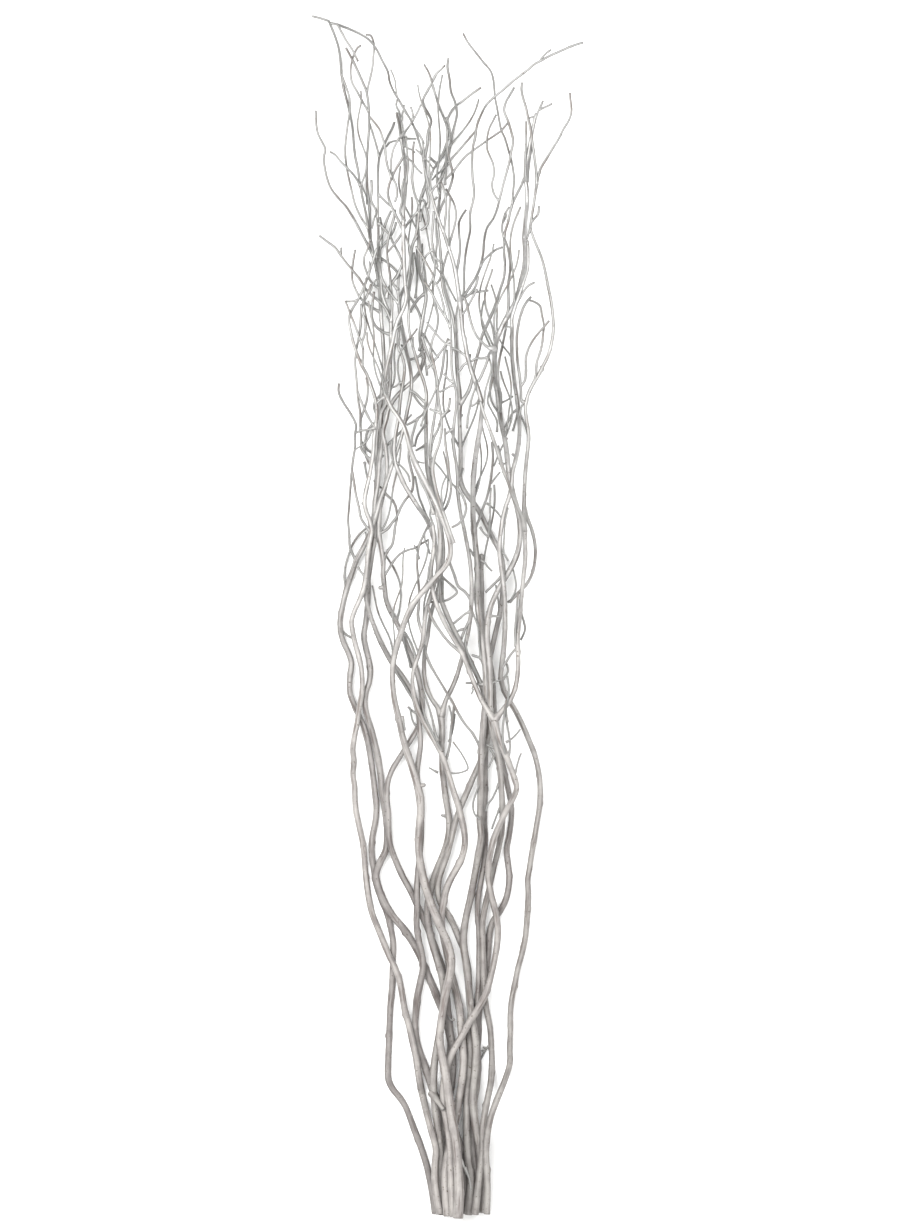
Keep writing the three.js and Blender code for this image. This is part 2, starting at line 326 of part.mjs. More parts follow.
    + "427,892 423.5,879 420.5,864 418.5,848 419,831 420.5,814 420,799 417,784 412,767 406.5,751 "
    + "402.5,737 399,720 395,703 393,688 392.5,673 394,659 397.5,645 402,630 407,616 413,604 421,594 "
    + "429,585 437,576 445,567 450,556 450,543 446.5,530 441.5,517 436,504 429.5,491 423,478 416.5,465 "
    + "411,452 408,439 404,427 398,417 391.5,408 386.5,398 385,385 386.5,370 389.5,356 392.5,343 395,330 "
    + "398.5,319 403.5,309 406.5,298 405.5,286 404.5,272 404,257 403.5,242 403.5,226 403.5,210 405,194 "
    + "405.5,178 405,163 403,150 401,137 399,124 396.5,112",
    twig(2, 1.3, "404,232 399,222 394,212 390,203 388,194 389,186 392,177 396,169 401,161 404,155"),
    twig(1.3, 1, "392,177 391,165 392,155 394,148 397,142 399,138"),
    twig(1.2, 1, "392,177 396,185 397,195 395,202"),
    twig(1.2, 0.9, "391,178 388,168 386,158 385,148 383,140 380,131 375,124 370,118"),
    twig(1.6, 1.2, "402,135 409,130 413,124 418,115 421,108"),
    twig(1.2, 1, "413,124 413,117 411,110"),
    twig(2.6, 2.2, "386,397 381,400 377,404")),
  stem("caught_piece", "544:4 351:2",
    "454,544 450,533 446,521 441.5,508 437.5,495 434.5,482 433,469 435,457 439,446 441.5,434 442,422 "
    + "440,411 438.5,400 438,388 436,375 433,362 430,351",
    twig(1.5, 1.1, "440,415 435,413 430,411"),
    twig(1.5, 1, "442,418 446,414 449,408 450,400")),
];

const points = run => run.split(" ").map(pair => {
  const [column, row] = pair.split(",").map(Number);
  return { x: (column - PHOTO_CENTRE_X) * PIXEL, y: (PHOTO_CUT_END_Y - row) * PIXEL };
});
const flatDistance = (a, b) => Math.hypot(a.x - b.x, a.y - b.y);

// Diameter at a point, between the heights where it is given
function girthReader(girth) {
  const marks = girth.split(" ").map(mark => {
    const [row, diameter] = mark.split(":").map(Number);
    return { y: (PHOTO_CUT_END_Y - row) * PIXEL, diameter: diameter * PIXEL };
  });
  return point => {
    if (point.y <= marks[0].y) return marks[0].diameter;
    for (let i = 1; i < marks.length; i++) {
      const [low, high] = [marks[i - 1], marks[i]];
      if (point.y <= high.y) {
        return low.diameter + (high.diameter - low.diameter) * (point.y - low.y) / (high.y - low.y);
      }
    }
    return marks.at(-1).diameter;
  };
}

// The point of a segment nearest to p, seen from above, and how far along the segment it is
function nearestOn(p, a, b) {
  const [dx, dy] = [b.x - a.x, b.y - a.y];
  const length2 = dx * dx + dy * dy;
  const t = length2 ? Math.min(1, Math.max(0, ((p.x - a.x) * dx + (p.y - a.y) * dy) / length2)) : 0;
  return { t, distance: Math.hypot(p.x - a.x - dx * t, p.y - a.y - dy * t) };
}

// Where a twig is rooted, its parent gets a point of its own, and the twig starts at that point
function rootIn(tubes, start) {
  let best = { distance: Infinity };
  for (const tube of tubes) {
    for (let i = 1; i < tube.path.length; i++) {
      const found = nearestOn(start, tube.path[i - 1], tube.path[i]);
      if (found.distance < best.distance) best = { ...found, tube, i };
    }
  }
  const { tube, i, t } = best;
  const [a, b] = [tube.path[i - 1], tube.path[i]];
  if (t === 0 || t === 1) {
    const end = t === 0 ? a : b;
    end.fixed = true;
    return end;
  }
  const root = {
    x: a.x + (b.x - a.x) * t, y: a.y + (b.y - a.y) * t, r: a.r + (b.r - a.r) * t, fixed: true,
  };
  tube.path.splice(i, 0, root);
  return root;
}

// Points that a straight length can skip are dropped
function thin(path, chord) {
  const kept = [path[0]];
  let from = 0;
  while (from < path.length - 1) {
    let to = from + 1;
    for (let next = from + 2; next < path.length; next++) {
      const skipped = path.slice(from + 1, next);
      const straight = skipped.every(p => !p.fixed && nearestOn(p, path[from], path[next]).distance < chord);
      if (!straight || flatDistance(path[from], path[next]) > LONGEST_STEP) break;
      to = next;
    }
    kept.push(path[to]);
    from = to;
  }
  return kept;
}

// One stem and its twigs as tubes, seen from above, each a list of points that carry their radius
function layOut({ girth, run, twigs }) {
  const girthAt = girthReader(girth);
  const trunk = points(run).map(p => ({ ...p, r: girthAt(p) / 2 }));
  const tubes = [{ path: trunk, sides: sidesFor(2 * trunk[0].r) }];
  for (const { rootDiameter, tipDiameter, run: twigRun } of twigs) {
    const route = points(twigRun);
    const root = rootIn(tubes, route[0]);
    const width = Math.min(rootDiameter, TWIG_SHARE * 2 * root.r) / 2;
    const last = route.length - 1;
    const path = route.map((p, i) => ({ ...p, r: width + (tipDiameter / 2 - width) * i / last }));
    path[0] = root;
    tubes.push({ path, sides: sidesFor(2 * width), twigRadius: width });
  }
  tubes.forEach((tube, i) => { tube.path = thin(tube.path, i ? TWIG_CHORD : CHORD); });
  return tubes;
}

// The same numbers each time: a plain linear congruential draw between 0 and 1
function draws(seed) {
  let state = seed;
  return () => (state = (state * 1664525 + 1013904223) % 4294967296) / 4294967296;
}

const restHeight = (point, sides) => point.r * Math.cos(Math.PI / sides);
const topHeight = (r, sides) => (sides % 2 ? r : r * Math.cos(Math.PI / sides));

// All points of a stem, each once, with the straight lengths between them as links
function network(tubes) {
  const nodes = [];
  const links = [];
  const number = (point, sides) => {
    if (point.index === undefined) {
      point.index = nodes.length;
      point.rest = restHeight(point, sides);
      nodes.push(point);
    }
    return point.index;
  };
  for (const { path, sides } of tubes) {
    path.forEach(p => number(p, sides));
    for (let i = 1; i < path.length; i++) {
      links.push({ a: path[i - 1], b: path[i], length: flatDistance(path[i - 1], path[i]), sides });
    }
  }
  const distance = nodes.map((_, i) => nodes.map((__, j) => (i === j ? 0 : Infinity)));
  for (const { a, b, length } of links) {
    distance[a.index][b.index] = distance[b.index][a.index] = length;
  }
  for (let k = 0; k < nodes.length; k++) {
    for (let i = 0; i < nodes.length; i++) {
      for (let j = 0; j < nodes.length; j++) {
        const round = distance[i][k] + distance[k][j];
        if (round < distance[i][j]) distance[i][j] = round;
      }
    }
  }
  return { nodes, links, distance };
}

// The heights a stem would take with nothing under it: a corkscrew that widens towards the crown
function wishHeights(tubes, distance, draw) {
  const start = tubes[0].path[0].index;
  const turn = THREE.MathUtils.lerp(SHORTEST_TURN, LONGEST_TURN, draw());
  const phase = 2 * Math.PI * draw();
  for (const p of tubes[0].path) {
    const along = distance[start][p.index];
    const grown = THREE.MathUtils.smoothstep(along, STRAIGHT_BUTT, FULL_CURL);
    const swing = 0.5 - 0.5 * Math.cos(2 * Math.PI * along / turn + phase);
    p.wish = p.rest + grown * CURL_HEIGHT * Math.max(0, swing - LYING_SHARE) / (1 - LYING_SHARE);
  }
  for (const { path } of tubes.slice(1)) {
    const lean = THREE.MathUtils.lerp(LEAST_LEAN, MOST_LEAN, draw());
    const root = path[0];
    for (const p of path.slice(1)) {
      const rise = root.wish + lean * distance[root.index][p.index];
      p.wish = Math.max(p.rest, Math.min(rise, HIGHEST_WISH));
    }
  }
}

// The least height at each point that keeps the stem clear of every length already laid
function needs({ nodes, links }, laid) {
  const need = nodes.map(p => p.rest);
  for (const { a, b, length, sides } of links) {
    const slope = Math.abs(b.z - a.z) / length;
    for (let k = 0; k <= SAMPLES_PER_STEP; k++) {
      const t = k / SAMPLES_PER_STEP;
      const p = { x: a.x + (b.x - a.x) * t, y: a.y + (b.y - a.y) * t };
      const r = a.r + (b.r - a.r) * t;
      for (const under of laid) {
        const besideX = p.x < under.left - r || p.x > under.right + r;
        const besideY = p.y < under.low - r || p.y > under.high + r;
        if (besideX || besideY) continue;
        const found = nearestOn(p, under.a, under.b);
        const underR = under.a.r + (under.b.r - under.a.r) * found.t;
        const reach = r + underR + GAP;
        if (found.distance >= reach) continue;
        const flats = r * Math.cos(Math.PI / sides) + topHeight(underR, under.sides) + GAP;
        const round = Math.sqrt(reach * reach - found.distance * found.distance);
        const lean = under.slope * r + slope * underR;
        const z = under.a.z + (under.b.z - under.a.z) * found.t + Math.min(flats, round) + lean;
        need[a.index] = Math.max(need[a.index], z);
        need[b.index] = Math.max(need[b.index], z);
      }
    }
  }
  return need;
}

// A stem goes down on those already laid. It humps over each in a smooth arc, twigs and all.
function settle(net, laid) {
  const { nodes, links, distance } = net;
  nodes.forEach(p => { p.z = p.rest; });
  const held = nodes.map(() => 0);
  for (let pass = 0; pass < SETTLE_PASSES; pass++) {
    needs(net, laid).forEach((z, i) => { held[i] = Math.max(held[i], z); });
    nodes.forEach((p, i) => {
      p.z = p.wish;
      held.forEach((z, j) => { p.z = Math.max(p.z, z - distance[i][j] ** 2 / (2 * STIFFNESS)); });
    });
    for (let round = 0; round < EASE_PASSES; round++) {
      const sum = nodes.map(p => OWN_WEIGHT * p.z);
      const weight = nodes.map(() => OWN_WEIGHT);
      for (const { a, b } of links) {
        sum[a.index] += b.z;
        sum[b.index] += a.z;
        weight[a.index] += 1;
        weight[b.index] += 1;
      }
      nodes.forEach((p, i) => {
        const lies = p.wish === p.rest && held[i] === p.rest;
        p.z = lies ? p.rest : Math.max(held[i], sum[i] / weight[i]);
      });
    }
  }
  for (const { a, b, length, sides } of links) {
    const r = Math.max(a.r, b.r) + GAP;
    laid.push({
      a, b, sides, slope: Math.abs(b.z - a.z) / length,
      left: Math.min(a.x, b.x) - r, right: Math.max(a.x, b.x) + r,
      low: Math.min(a.y, b.y) - r, high: Math.max(a.y, b.y) + r,
    });
  }
}

// A tube is a cylinder whose rings are carried out along the path, one flat side down
const UP = new THREE.Vector3(0, 0, 1);

function tube({ path, sides, twigRadius }) {
  const steps = path.length - 1;
  const shape = new THREE.CylinderGeometry(1, 1, 1, sides, steps, false, Math.PI + Math.PI / sides);
  shape.deleteAttribute("normal");
  shape.deleteAttribute("uv");
  const body = mergeVertices(shape);
  const centres = path.map(p => new THREE.Vector3(p.x, p.y, p.z));
  const frames = centres.map((_, i) => {
    const ahead = centres[Math.min(i + 1, steps)].clone().sub(centres[Math.max(i - 1, 0)]).normalize();
    const side = ahead.clone().cross(UP).normalize();
    return { side, up: side.clone().cross(ahead) };
  });
  const position = body.attributes.position;
  for (let v = 0; v < position.count; v++) {
    const ring = Math.round((position.getY(v) + 0.5) * steps);
    const { side, up } = frames[ring];
    const r = ring === 0 && twigRadius ? twigRadius : path[ring].r;
    const place = centres[ring].clone()
      .addScaledVector(side, r * position.getX(v)).addScaledVector(up, r * position.getZ(v));
    position.setXYZ(v, place.x, place.y, Math.max(0, place.z));
  }
  return body;
}

function toSolid(geometry) {
  const vertProperties = Float32Array.from(geometry.attributes.position.array);
  const triVerts = Uint32Array.from(geometry.index.array);
  return new wasm.Manifold(new wasm.Mesh({ numProp: 3, vertProperties, triVerts }));
}

function toGeometry(solid) {
  const mesh = solid.getMesh();
  const geometry = new THREE.BufferGeometry();
  geometry.setAttribute("position", new THREE.BufferAttribute(mesh.vertProperties, 3));
  geometry.setIndex(new THREE.BufferAttribute(mesh.triVerts, 1));
  geometry.computeVertexNormals();
  return geometry;
}

// Matt metallic paint, a shade darker on the stems that lie underneath
const SHADES = ["#a7a39d", "#aaa6a0", "#afaba5", "#b4b0aa", "#b9b5ae", "#bdb9b2", "#c2beb7", "#c8c4bd"];
function paint(order) {
  const color = SHADES[Math.floor(order * SHADES.length / BUNCH.length)];
  return new THREE.MeshStandardMaterial({ color, roughness: 0.46, metalness: 0.3, flatShading: true });
}

const bunch = new THREE.Group();
const laid = [];
BUNCH.forEach((plan, order) => {
  const tubes = layOut(plan);
  const net = network(tubes);
  wishHeights(tubes, net.distance, draws(order + 1));
  settle(net, laid);
  const solid = tubes.map(part => toSolid(tube(part))).reduce((whole, part) => whole.add(part));
  const mesh = new THREE.Mesh(toGeometry(solid), paint(order));
  mesh.name = `stem_${plan.name}`;
  bunch.add(mesh);
});

// The origin is under the middle of the bunch
const extent = new THREE.Box3().setFromObject(bunch, true);
const middle = extent.getCenter(new THREE.Vector3());
bunch.children.forEach(mesh => mesh.geometry.translate(-middle.x, -middle.y, 0));

export default bunch;
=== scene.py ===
# %% [markdown]
# # A bunch of painted curly willow stems
# The real thing is a hank of dried curly willow, about 1.2 metres long. The stems were stripped of
# leaves and sprayed with silver paint. Sixteen stems lie loosely across one another, cut ends
# together. Each one wanders from side to side and up and down, as a corkscrew that was stretched.
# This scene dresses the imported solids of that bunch: same routes and same heights, with round bark,
# knots, bud scars and fine twigs that the faceted solids leave out.

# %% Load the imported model
import math

import bpy
import numpy as np
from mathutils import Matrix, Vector


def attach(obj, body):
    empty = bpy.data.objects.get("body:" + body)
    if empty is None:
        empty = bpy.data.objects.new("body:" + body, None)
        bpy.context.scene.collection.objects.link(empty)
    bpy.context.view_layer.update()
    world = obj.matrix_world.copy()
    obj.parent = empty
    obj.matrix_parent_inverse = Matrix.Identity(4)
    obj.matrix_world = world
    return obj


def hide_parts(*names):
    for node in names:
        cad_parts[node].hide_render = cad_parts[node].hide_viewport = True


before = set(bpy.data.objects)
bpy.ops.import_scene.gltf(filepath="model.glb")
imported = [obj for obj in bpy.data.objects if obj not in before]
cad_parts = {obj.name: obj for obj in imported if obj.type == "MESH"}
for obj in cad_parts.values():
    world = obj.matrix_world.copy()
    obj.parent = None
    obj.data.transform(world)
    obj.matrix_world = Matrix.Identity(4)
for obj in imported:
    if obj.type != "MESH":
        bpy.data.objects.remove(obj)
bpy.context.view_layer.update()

MM = 0.001  # Blender works in metres, and a willow stem is easier to think of in millimetres
scene = bpy.context.scene
print("solids loaded:", len(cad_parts))

# %% [markdown]
# ## The camera
# The bunch lies on a table and the camera looks straight down on it, so a pixel of the photograph
# and a millimetre on the table are the same length. A long lens keeps the stems from leaning
# outwards at the edges of the frame. Its distance follows from its focal length: the picture's
# height on the table is to the distance as the sensor's height is to the focal length.

# %% Camera
PHOTO_WIDTH, PHOTO_HEIGHT = 900, 1230  # the photograph, in pixels
PIXEL = 1.0  # one pixel of the photograph, in millimetres
FOCAL_LENGTH = 200.0  # in millimetres, as the sensor
SENSOR_HEIGHT = 36.0
MIDDLE_HEIGHT = 30.0  # the height in the pile where the scale is exact

camera_data = bpy.data.cameras.new("overhead_camera")
camera_data.lens = FOCAL_LENGTH
camera_data.sensor_fit = "VERTICAL"
camera_data.sensor_height = SENSOR_HEIGHT
camera = bpy.data.objects.new("overhead_camera", camera_data)
scene.collection.objects.link(camera)
scene.camera = camera
camera_distance = PHOTO_HEIGHT * PIXEL * FOCAL_LENGTH / SENSOR_HEIGHT
print("camera distance in mm:", round(camera_distance))

# %% [markdown]
# ## The stems' routes
# Curly willow can't be drawn by a rule alone, because every stem has its own bends. So each route
# is a list of places along the stem, "column,row" in the photograph, from the cut end to the tip.
# Twigs have a route of their own. The diameter is given at a few heights and runs evenly between
# them. The solids were made from the same list, so that dressed stems fit their solids.

# %% Routes of the sixteen stems and their twigs
def stem(name, girth, run, *twigs):
    """A stem: its name, its diameters as "row:millimetres", its route, and the twigs on it."""
    return {"name": name, "girth": girth, "run": run, "twigs": twigs}


def twig(root_diameter, tip_diameter, run):
    """A twig: its diameter at the root and at the tip, and its route."""
    return {"root": root_diameter, "tip": tip_diameter, "run": run}


BUNCH = [
    stem("left_outer", "1216:6.5 800:6 600:5.5 450:4.5 350:4 200:2.5 16:1",
      "435,1216 432,1195 427,1170 421,1150 413.5,1130 406,1110 400,1100 392,1090 388,1080 388,1060 "
      + "389,1035 390,1010 392,985 392.5,962 393,945 391,932 387,915 381,900 376,885 373.5,870 "
      + "371.5,855 372,838 375,822 376,807 374.5,793 372.5,775 370,757 367,740 363.5,727 359,717 "
      + "354,706 349.5,693 349.5,678 351,663 348,653 343,642 340,632 339.5,622 341,611 343.5,599 "
      + "347,586 351.5,573 356,560 362,549 367,539 371,530 373.5,517 375.5,503 376,488 376.5,474 "
      + "376,460 376,447 377,436 379,424 380,412 381,400 382,386 383.5,372 383.5,358 383,344 "
      + "382,330 381,315 380,300 379,286 377,273 374,258 371,243 368,228 366,214 363,200 360,185 "
      + "358,170 355,155 353.5,142 352,125 349,110 346,97 343,85 341,72 340,58 338,45 334,33 "
      + "329,21 320,18 312,16",
      twig(3, 1.8, "373,256 367,243 360,230 353,217 346,206 338,197 331,188 327,178 324.5,167 "
      + "323.5,157 325,148 321,140 317.5,132 316,123 315.5,110"),
      twig(1.6, 1, "366,228 361,217 355,204 351,188 348,175 346,163 345,150 346,137 348,122 "
      + "350,108 349,96 345,84 341,73"),
      twig(2.2, 1.2, "379,312 372,307 366,303 360,297 355,288 352,279 352,269 353,260 355,249"),
      twig(1.4, 1, "344,590 344,578 345,566 348,555 352,545 359,534 367,527"),
      twig(1.8, 1, "354,560 350,548 349,535 348,520 349,505 350,492 351,480 352,470 353,460 "
      + "355,448 355,435 356,425 350,413 343,402 339,393 339,384"),
      twig(1.2, 1, "341,630 345,634 351,638"),
      twig(1.8, 1, "331,22 337,24 341,31 346,40 352,49 358,61"),
      twig(2.6, 1.4, "371,236 369.5,215 368.5,200 367,187 366.5,172 367,155 368,140 369,125 "
      + "369,110 368,100 366.5,91 360,76 353,61 346,48"),
      twig(1.3, 1, "368,112 364,104 358,93 352,82 350.5,72 352,60 357,48 361,45"),
      twig(1.3, 1, "366.5,92 369,83 372,70 373.5,55 374,45 371,36 366,35"),
      twig(1.2, 1, "360,186 356,178 351,172 347,168 341,162 335,155 330,152"),
      twig(1.6, 1.2, "377,288 371,281 367,273 364,264 364,256 367,249 370,240"),
      twig(1.6, 1.1, "379,420 372,424 367,431 365,440 364,449 366,457 370,465"),
      twig(1.2, 0.9, "371,455 367,449 364,445 361,441")),
    stem("left_back", "1215:8 950:7 800:6.5 650:5.5 540:5 400:4.5 300:3.5 180:2.5 120:1.2",
      "450,1215 449,1195 447,1175 444,1155 442,1135 441.5,1115 443,1098 446,1080 449,1062 451,1047 "
      + "448,1030 443.5,1015 438.5,1003 434,991 429,979 424,967 419,956 412,943 403,929 392,916 "
      + "384,902 378.5,888 376,875 380,863 385.5,851 387,838 386.5,824 384.5,809 382,794 380.5,778 "
      + "378.5,763 375.5,748 371.5,732 367,717 364.5,704 365.5,693 369,682 370,671 368.5,660 "
      + "365.5,648 363.5,636 365.5,622 367,608 368,594 368,580 370,566 372,553 374,541 375,529 "
      + "374.5,516 375,502 377,488 378,475 379,462 381,449 382,437 381,425 382,412 386,404 389,392 "
      + "390,378 390,363 391,350 391,336 391,322 389,312 385,303 382,293 381,281 380,269 378,257 "
      + "378,243 378,229 377.5,215 378,200 378,185 378,170 379,157 381,150 384,143 388,134 392,126 "
      + "394,120",
      twig(3, 1.2, "391,322 387,311 383,305 378,300 372,295 366,289 361,281 355,273 350,267 "
      + "345,261 340,254 335,247 327,241 319,235"),
      twig(3, 1.5, "391,322 392,305 391,290 390,275 388,262 387,250 388,240 391,228 394,218 "
      + "395,210"),
      twig(2.2, 1.4, "391,334 386,333 380,330 375,325 372,318 372,309 373,300 374,292"),
      twig(2, 1.4, "379,256 384,259 390,264 396,270 400,275"),
      twig(1.7, 1.2, "377.5,218 375,208 371,200 372,190 371.5,180"),
      twig(2, 1.4, "381,449 387,445 392,440 398,434 402,430"),
      twig(1.3, 1, "340,254 341,251 341,247"),
      twig(2, 1.2, "378,249 384,243 389,237 394,228 396,221"),
      twig(1.1, 0.9, "378,194 382,198 387,203 392,207"),
      twig(1.3, 1, "378,222 384,228 389,234 393,242 397,250 401,259 403,268"),
      twig(1.8, 1.2, "378,241 382,233 385,224 388,216 391,210")),
    stem("left_inner", "1216:7.5 900:6.5 750:5.5 600:5 430:4.5 380:4 250:3.5 130:3 104:1.4",
      "446,1216 452,1176 448,1158 445,1140 446,1120 449,1100 452,1082 453,1065 452,1047 450,1030 "
      + "448,1012 446.5,996 444,980 441,966 436,951 430,936 424,921 417,906 410,891 402,876 "
      + "395,860 390,845 388.5,830 388,813 386.5,797 387.5,783 392,770 398,760 405,749 412,738 "
      + "418,727 421.5,714 422,700 420,686 417,673 412,659 407,647 402,635 396,622 390,611 386,600 "
      + "384.5,588 383,575 383,562 381,548 379,535 379,521 380,508 383,495 386,482 387,469 "
      + "386.5,456 385,444 383,432 386,420 389,408 395,398 402,390 409,384 415,378 420,371 424,358 "
      + "421,345 420,333 422,320 424,308 426,296 424,284 420,272 418,258 419,245 418,232 417,218 "
      + "419,205 423,192 426,180 425,168 425,155 427,143 428,130 431,119 427,110 423,104",
      twig(1.5, 0.9, "423,105 423,98 427,90 431,83 436,73 441,68 445,64"),
      twig(2.5, 1.5, "379,533 386,530 392,523 397,516 401,507 406,499 411,493 413,486 413,477 "
      + "411,468 409,459 409,451"),
      twig(1.8, 1.3, "383,562 387,552 392,545 394,536 395,527 397,518 396,508 393,501 388,496 "
      + "384,492"),
      twig(1.5, 1.1, "383,577 388,570 393,562 400,554 408,550 415,548 421,544 428,540"),
      twig(1.8, 1.2, "426,292 422,294 417,299 413,305 410,311"),
      twig(1.3, 0.9, "422,322 419,312 415,304 411,298 408,294"),
      twig(2, 1.3, "423,352 418,356 410,359"),
      twig(1.6, 1.2, "423,353 427,348"),
      twig(1.5, 1.2, "424,359 426,367 427,375")),
    stem("centre_crown", "1216:8 1050:7.5 950:6.5 800:6 680:5 450:4 350:3.5 230:3 120:2",
      "463.5,1216 464,1198 464.5,1180 463,1162 459,1144 453,1127 446,1113 439.5,1103 433.5,1093 "
      + "429,1080 424.5,1067 420,1055 416.5,1042 415,1027 416,1012 417.5,997 420.5,982 423,968 "
      + "421.5,954 418.5,940 416.5,924 417,906 417,888 418,870 420,852 421,834 421,816 420.5,800 "
      + "418,785 417,771 419,757 420.5,744 419.5,729 418.5,715 415.5,702 411,691 405,681 398,671 "
      + "391,662 385,651 379,639 373.5,625 369,612 366,599 365.5,586 366.5,573 367.5,560 369,547 "
      + "371,535 373.5,523 377,511 380,500 384,489 387.5,479 391,468 395,457 398.5,446 402,434 "
      + "405,422 407.5,410 410,398 411.5,386 411,374 409,362 406,350 404,339 402,328 400,316 "
      + "399,304 401,293 406,283 409,271 411,259 412,247 416,235 418,222 419,208 421,196 425,188 "
      + "430,178 434,168 440,157 445,146 448,134 446,120",
      twig(1.6, 1, "446,120 442,112 438,102 435,92 432,82 429,72 424,63"),
      twig(1.6, 1, "446,120 451,110 456,104 463,99 472,92 481,86"),
      twig(1.5, 1.2, "437,162 433,159 429,155"),
      twig(1.6, 1, "419,205 415,195 413,186 412,178 413,168 413,158 413,150 414,142"),
      twig(1.6, 1.3, "420,198 425,202 427,210 428.5,218 427,225 421,230"),
      twig(1.3, 1, "418,211 411,219 405,228 399,238 393,246 388,252"),
      twig(2.5, 1.8, "414,704 409,693 403,683 397,674 394.5,667"),
      twig(1.4, 1.1, "418,714 412,711 408,707")),
    stem("right_broken", "1215:7 880:6 750:5 555:4.5",
      "478.5,1215 480,1196 479,1176 476.5,1157 473,1139 471,1121 470,1103 471,1085 473.5,1068 "
      + "477,1051 478.5,1035 478.5,1019 480.5,1005 483.5,992 486,979 487.5,965 488.5,950 489.5,936 "
      + "493,923 499,914 505,903 508.5,890 509.5,877 508,863 507,850 509.5,836 511.5,821 511.5,806 "
      + "509,793 506,780 503.5,767 500.5,755 497.5,744 495.5,730 494.5,713 494,697 493,681 491,665 "
      + "487.5,649 484.5,633 482.5,617 482,601 482,586 481.5,571 481.5,555"),
    stem("right_slim", "1214:7 950:5.5 750:5 560:5 450:4.5 350:4 250:3 120:2.5 58:1.2",
      "472.5,1214 474,1195 474,1176 472,1157 470.5,1139 472.5,1120 474.5,1103 477,1086 478.5,1069 "
      + "478,1052 476.5,1036 476.5,1020 477.5,1005 478.5,990 479,975 479,960 479,944 478.5,928 "
      + "477.5,912 478.5,897 481,882 483.5,867 485,852 485.5,837 484.5,821 485,804 485.5,787 "
      + "485.5,769 486,751 486.5,734 487.5,717 488.5,700 489,684 489.5,668 491,654 494,640 497,627 "
      + "500,613 502,600 503,587 503.5,574 502.5,562 499,550 493.5,539 487.5,527 481.5,515 "
      + "475.5,505 469,497 463,488 460,477 460.5,463 460.5,448 460,433 459.5,418 460,404 459.5,391 "
      + "458,379 457,366 456.5,353 456,340 455,328 453,316 450,305 446.5,295 444,284 442,272 "
      + "441,259 440,246 438.5,233 437,220 438.5,207 440,194 440.5,181 443,169 447,157 450,145 "
      + "452,133 455,122 457,112 455,101 451,91 449.5,78 447.5,66 448.5,58",
      twig(3, 1.6, "437,222 441,208 446,197 450,188 453,177 452,170 449,160 447.5,150 447,140 "
      + "448,130"),
      twig(1.3, 1, "441,177 446,166 452,157 459,149 466,141 472,134 476,129"),
      twig(1.3, 0.9, "452,174 459,165 466,157 474,151 481,146 488,141 494,137 501,132 507,125"),
      twig(4, 2, "460,404 465,397 469,390 472,380 474,368 477,357 480,346 482,336 487,325 491,316 "
      + "495,306 498,297 501,287 504,277 505,265 504,252 504,241 505,232 508,222 510,213 512,205 "
      + "516,196 521,186 524,178"),
      twig(1.7, 0.9, "512,205 513,193 514,181 513,170 511,160 508,150 505,140 501,131 499,121 "
      + "497,110 495,100 494,90 493,81 490,73 483,65 475,55 468,46 463,37"),
      twig(3, 2.6, "503,575 497,581 491,587 486,592"),
      twig(1.8, 1.3, "442,274 440,278 437,283"),
      twig(1.5, 1.2, "442,272 444,264 446,257 448,251"),
      twig(1.5, 1.1, "504,238 502,230 503,221 505,214 509,207")),
    stem("forked", "1216:8 850:7 750:6 717:6",
      "442,1216 441,1195 440.5,1175 440,1155 438.5,1135 436,1115 434,1097 433.5,1080 434.5,1063 "
      + "437,1047 440,1030 443,1012 444,995 442,978 437.5,962 433,947 429.5,932 427.5,917 428,903 "
      + "431,889 434.5,877 439,865 443.5,854 447,843 449,830 448.5,817 446.5,804 444.5,790 443,776 "
      + "442,762 441.5,748 442,732 441,717",
      twig(4.5, 2, "441,717 437.5,708 431.5,699 427,689 424.5,677 424,664 425,650 427.5,638 "
      + "429,625 431.5,612 435,600 438,588 441,575 443,562 443.5,549 442.5,536 440.5,523 438.5,510 "
      + "435.5,497 432,484 431,470 430,455 431,441 433,428 435,415 437,402 437,389 435.5,376 "
      + "433,364 431,352 433,340 437,330 438,318 435,306 433,294 434,282 435,270 434,257 432,243 "
      + "433,229 434,215"),
      twig(5, 2, "441,717 446,700 451.5,689 456.5,677 460,665 463,654 466,642 469,628 471,613 "
      + "471.5,598 471.5,583 470.5,568 468.5,553 466,540 463.5,527 461,516 459,504 457.5,491 "
      + "457.5,478 456,464 454,450 453,436 454.5,421 456.5,406 456,393 453,381 451.5,368 451.5,355 "
      + "451,342 450.5,329 449,316 446,304 443,293 441.5,281"),
      twig(1.4, 1, "433,252 427,258 423,266 422,276"),
      twig(1.6, 1.2, "458,489 463,498 466,508 464,517 459,524 452,528"),
      twig(1.4, 1, "441,576 449,583 457,592 451,598 444,601 436,602 427,602"),
      twig(2, 1.3, "471,600 465,592 458,586 455,577 452,569 449,561"),
      twig(1.5, 1.1, "471,611 465,614 459,619 453,624"),
      twig(2, 1.4, "470,620 466,627 463,634 461,640"),
      twig(2.5, 2, "443,770 447,757 450,744 451,730 453,716 454,705"),
      twig(1.8, 1.2, "430,452 434,438 438,430 441,420 446,414 450,411"),
      twig(2.5, 1.6, "450.5,331 446,321 441,313 437,306 434,300 431,295 428,290 425,285"),
      twig(1.8, 1.1, "446,321 444,312 442,302 439,293 435,285 432,276 428,269 424,262 419,254 "
      + "416,250"),
      twig(2.2, 1.6, "434,277 432,283 429,289"),
      twig(1.3, 1, "435,260 438,263 441,265"),
      twig(1.5, 1, "451,348 446,346 441,342 436,336 431,330 427,325"),
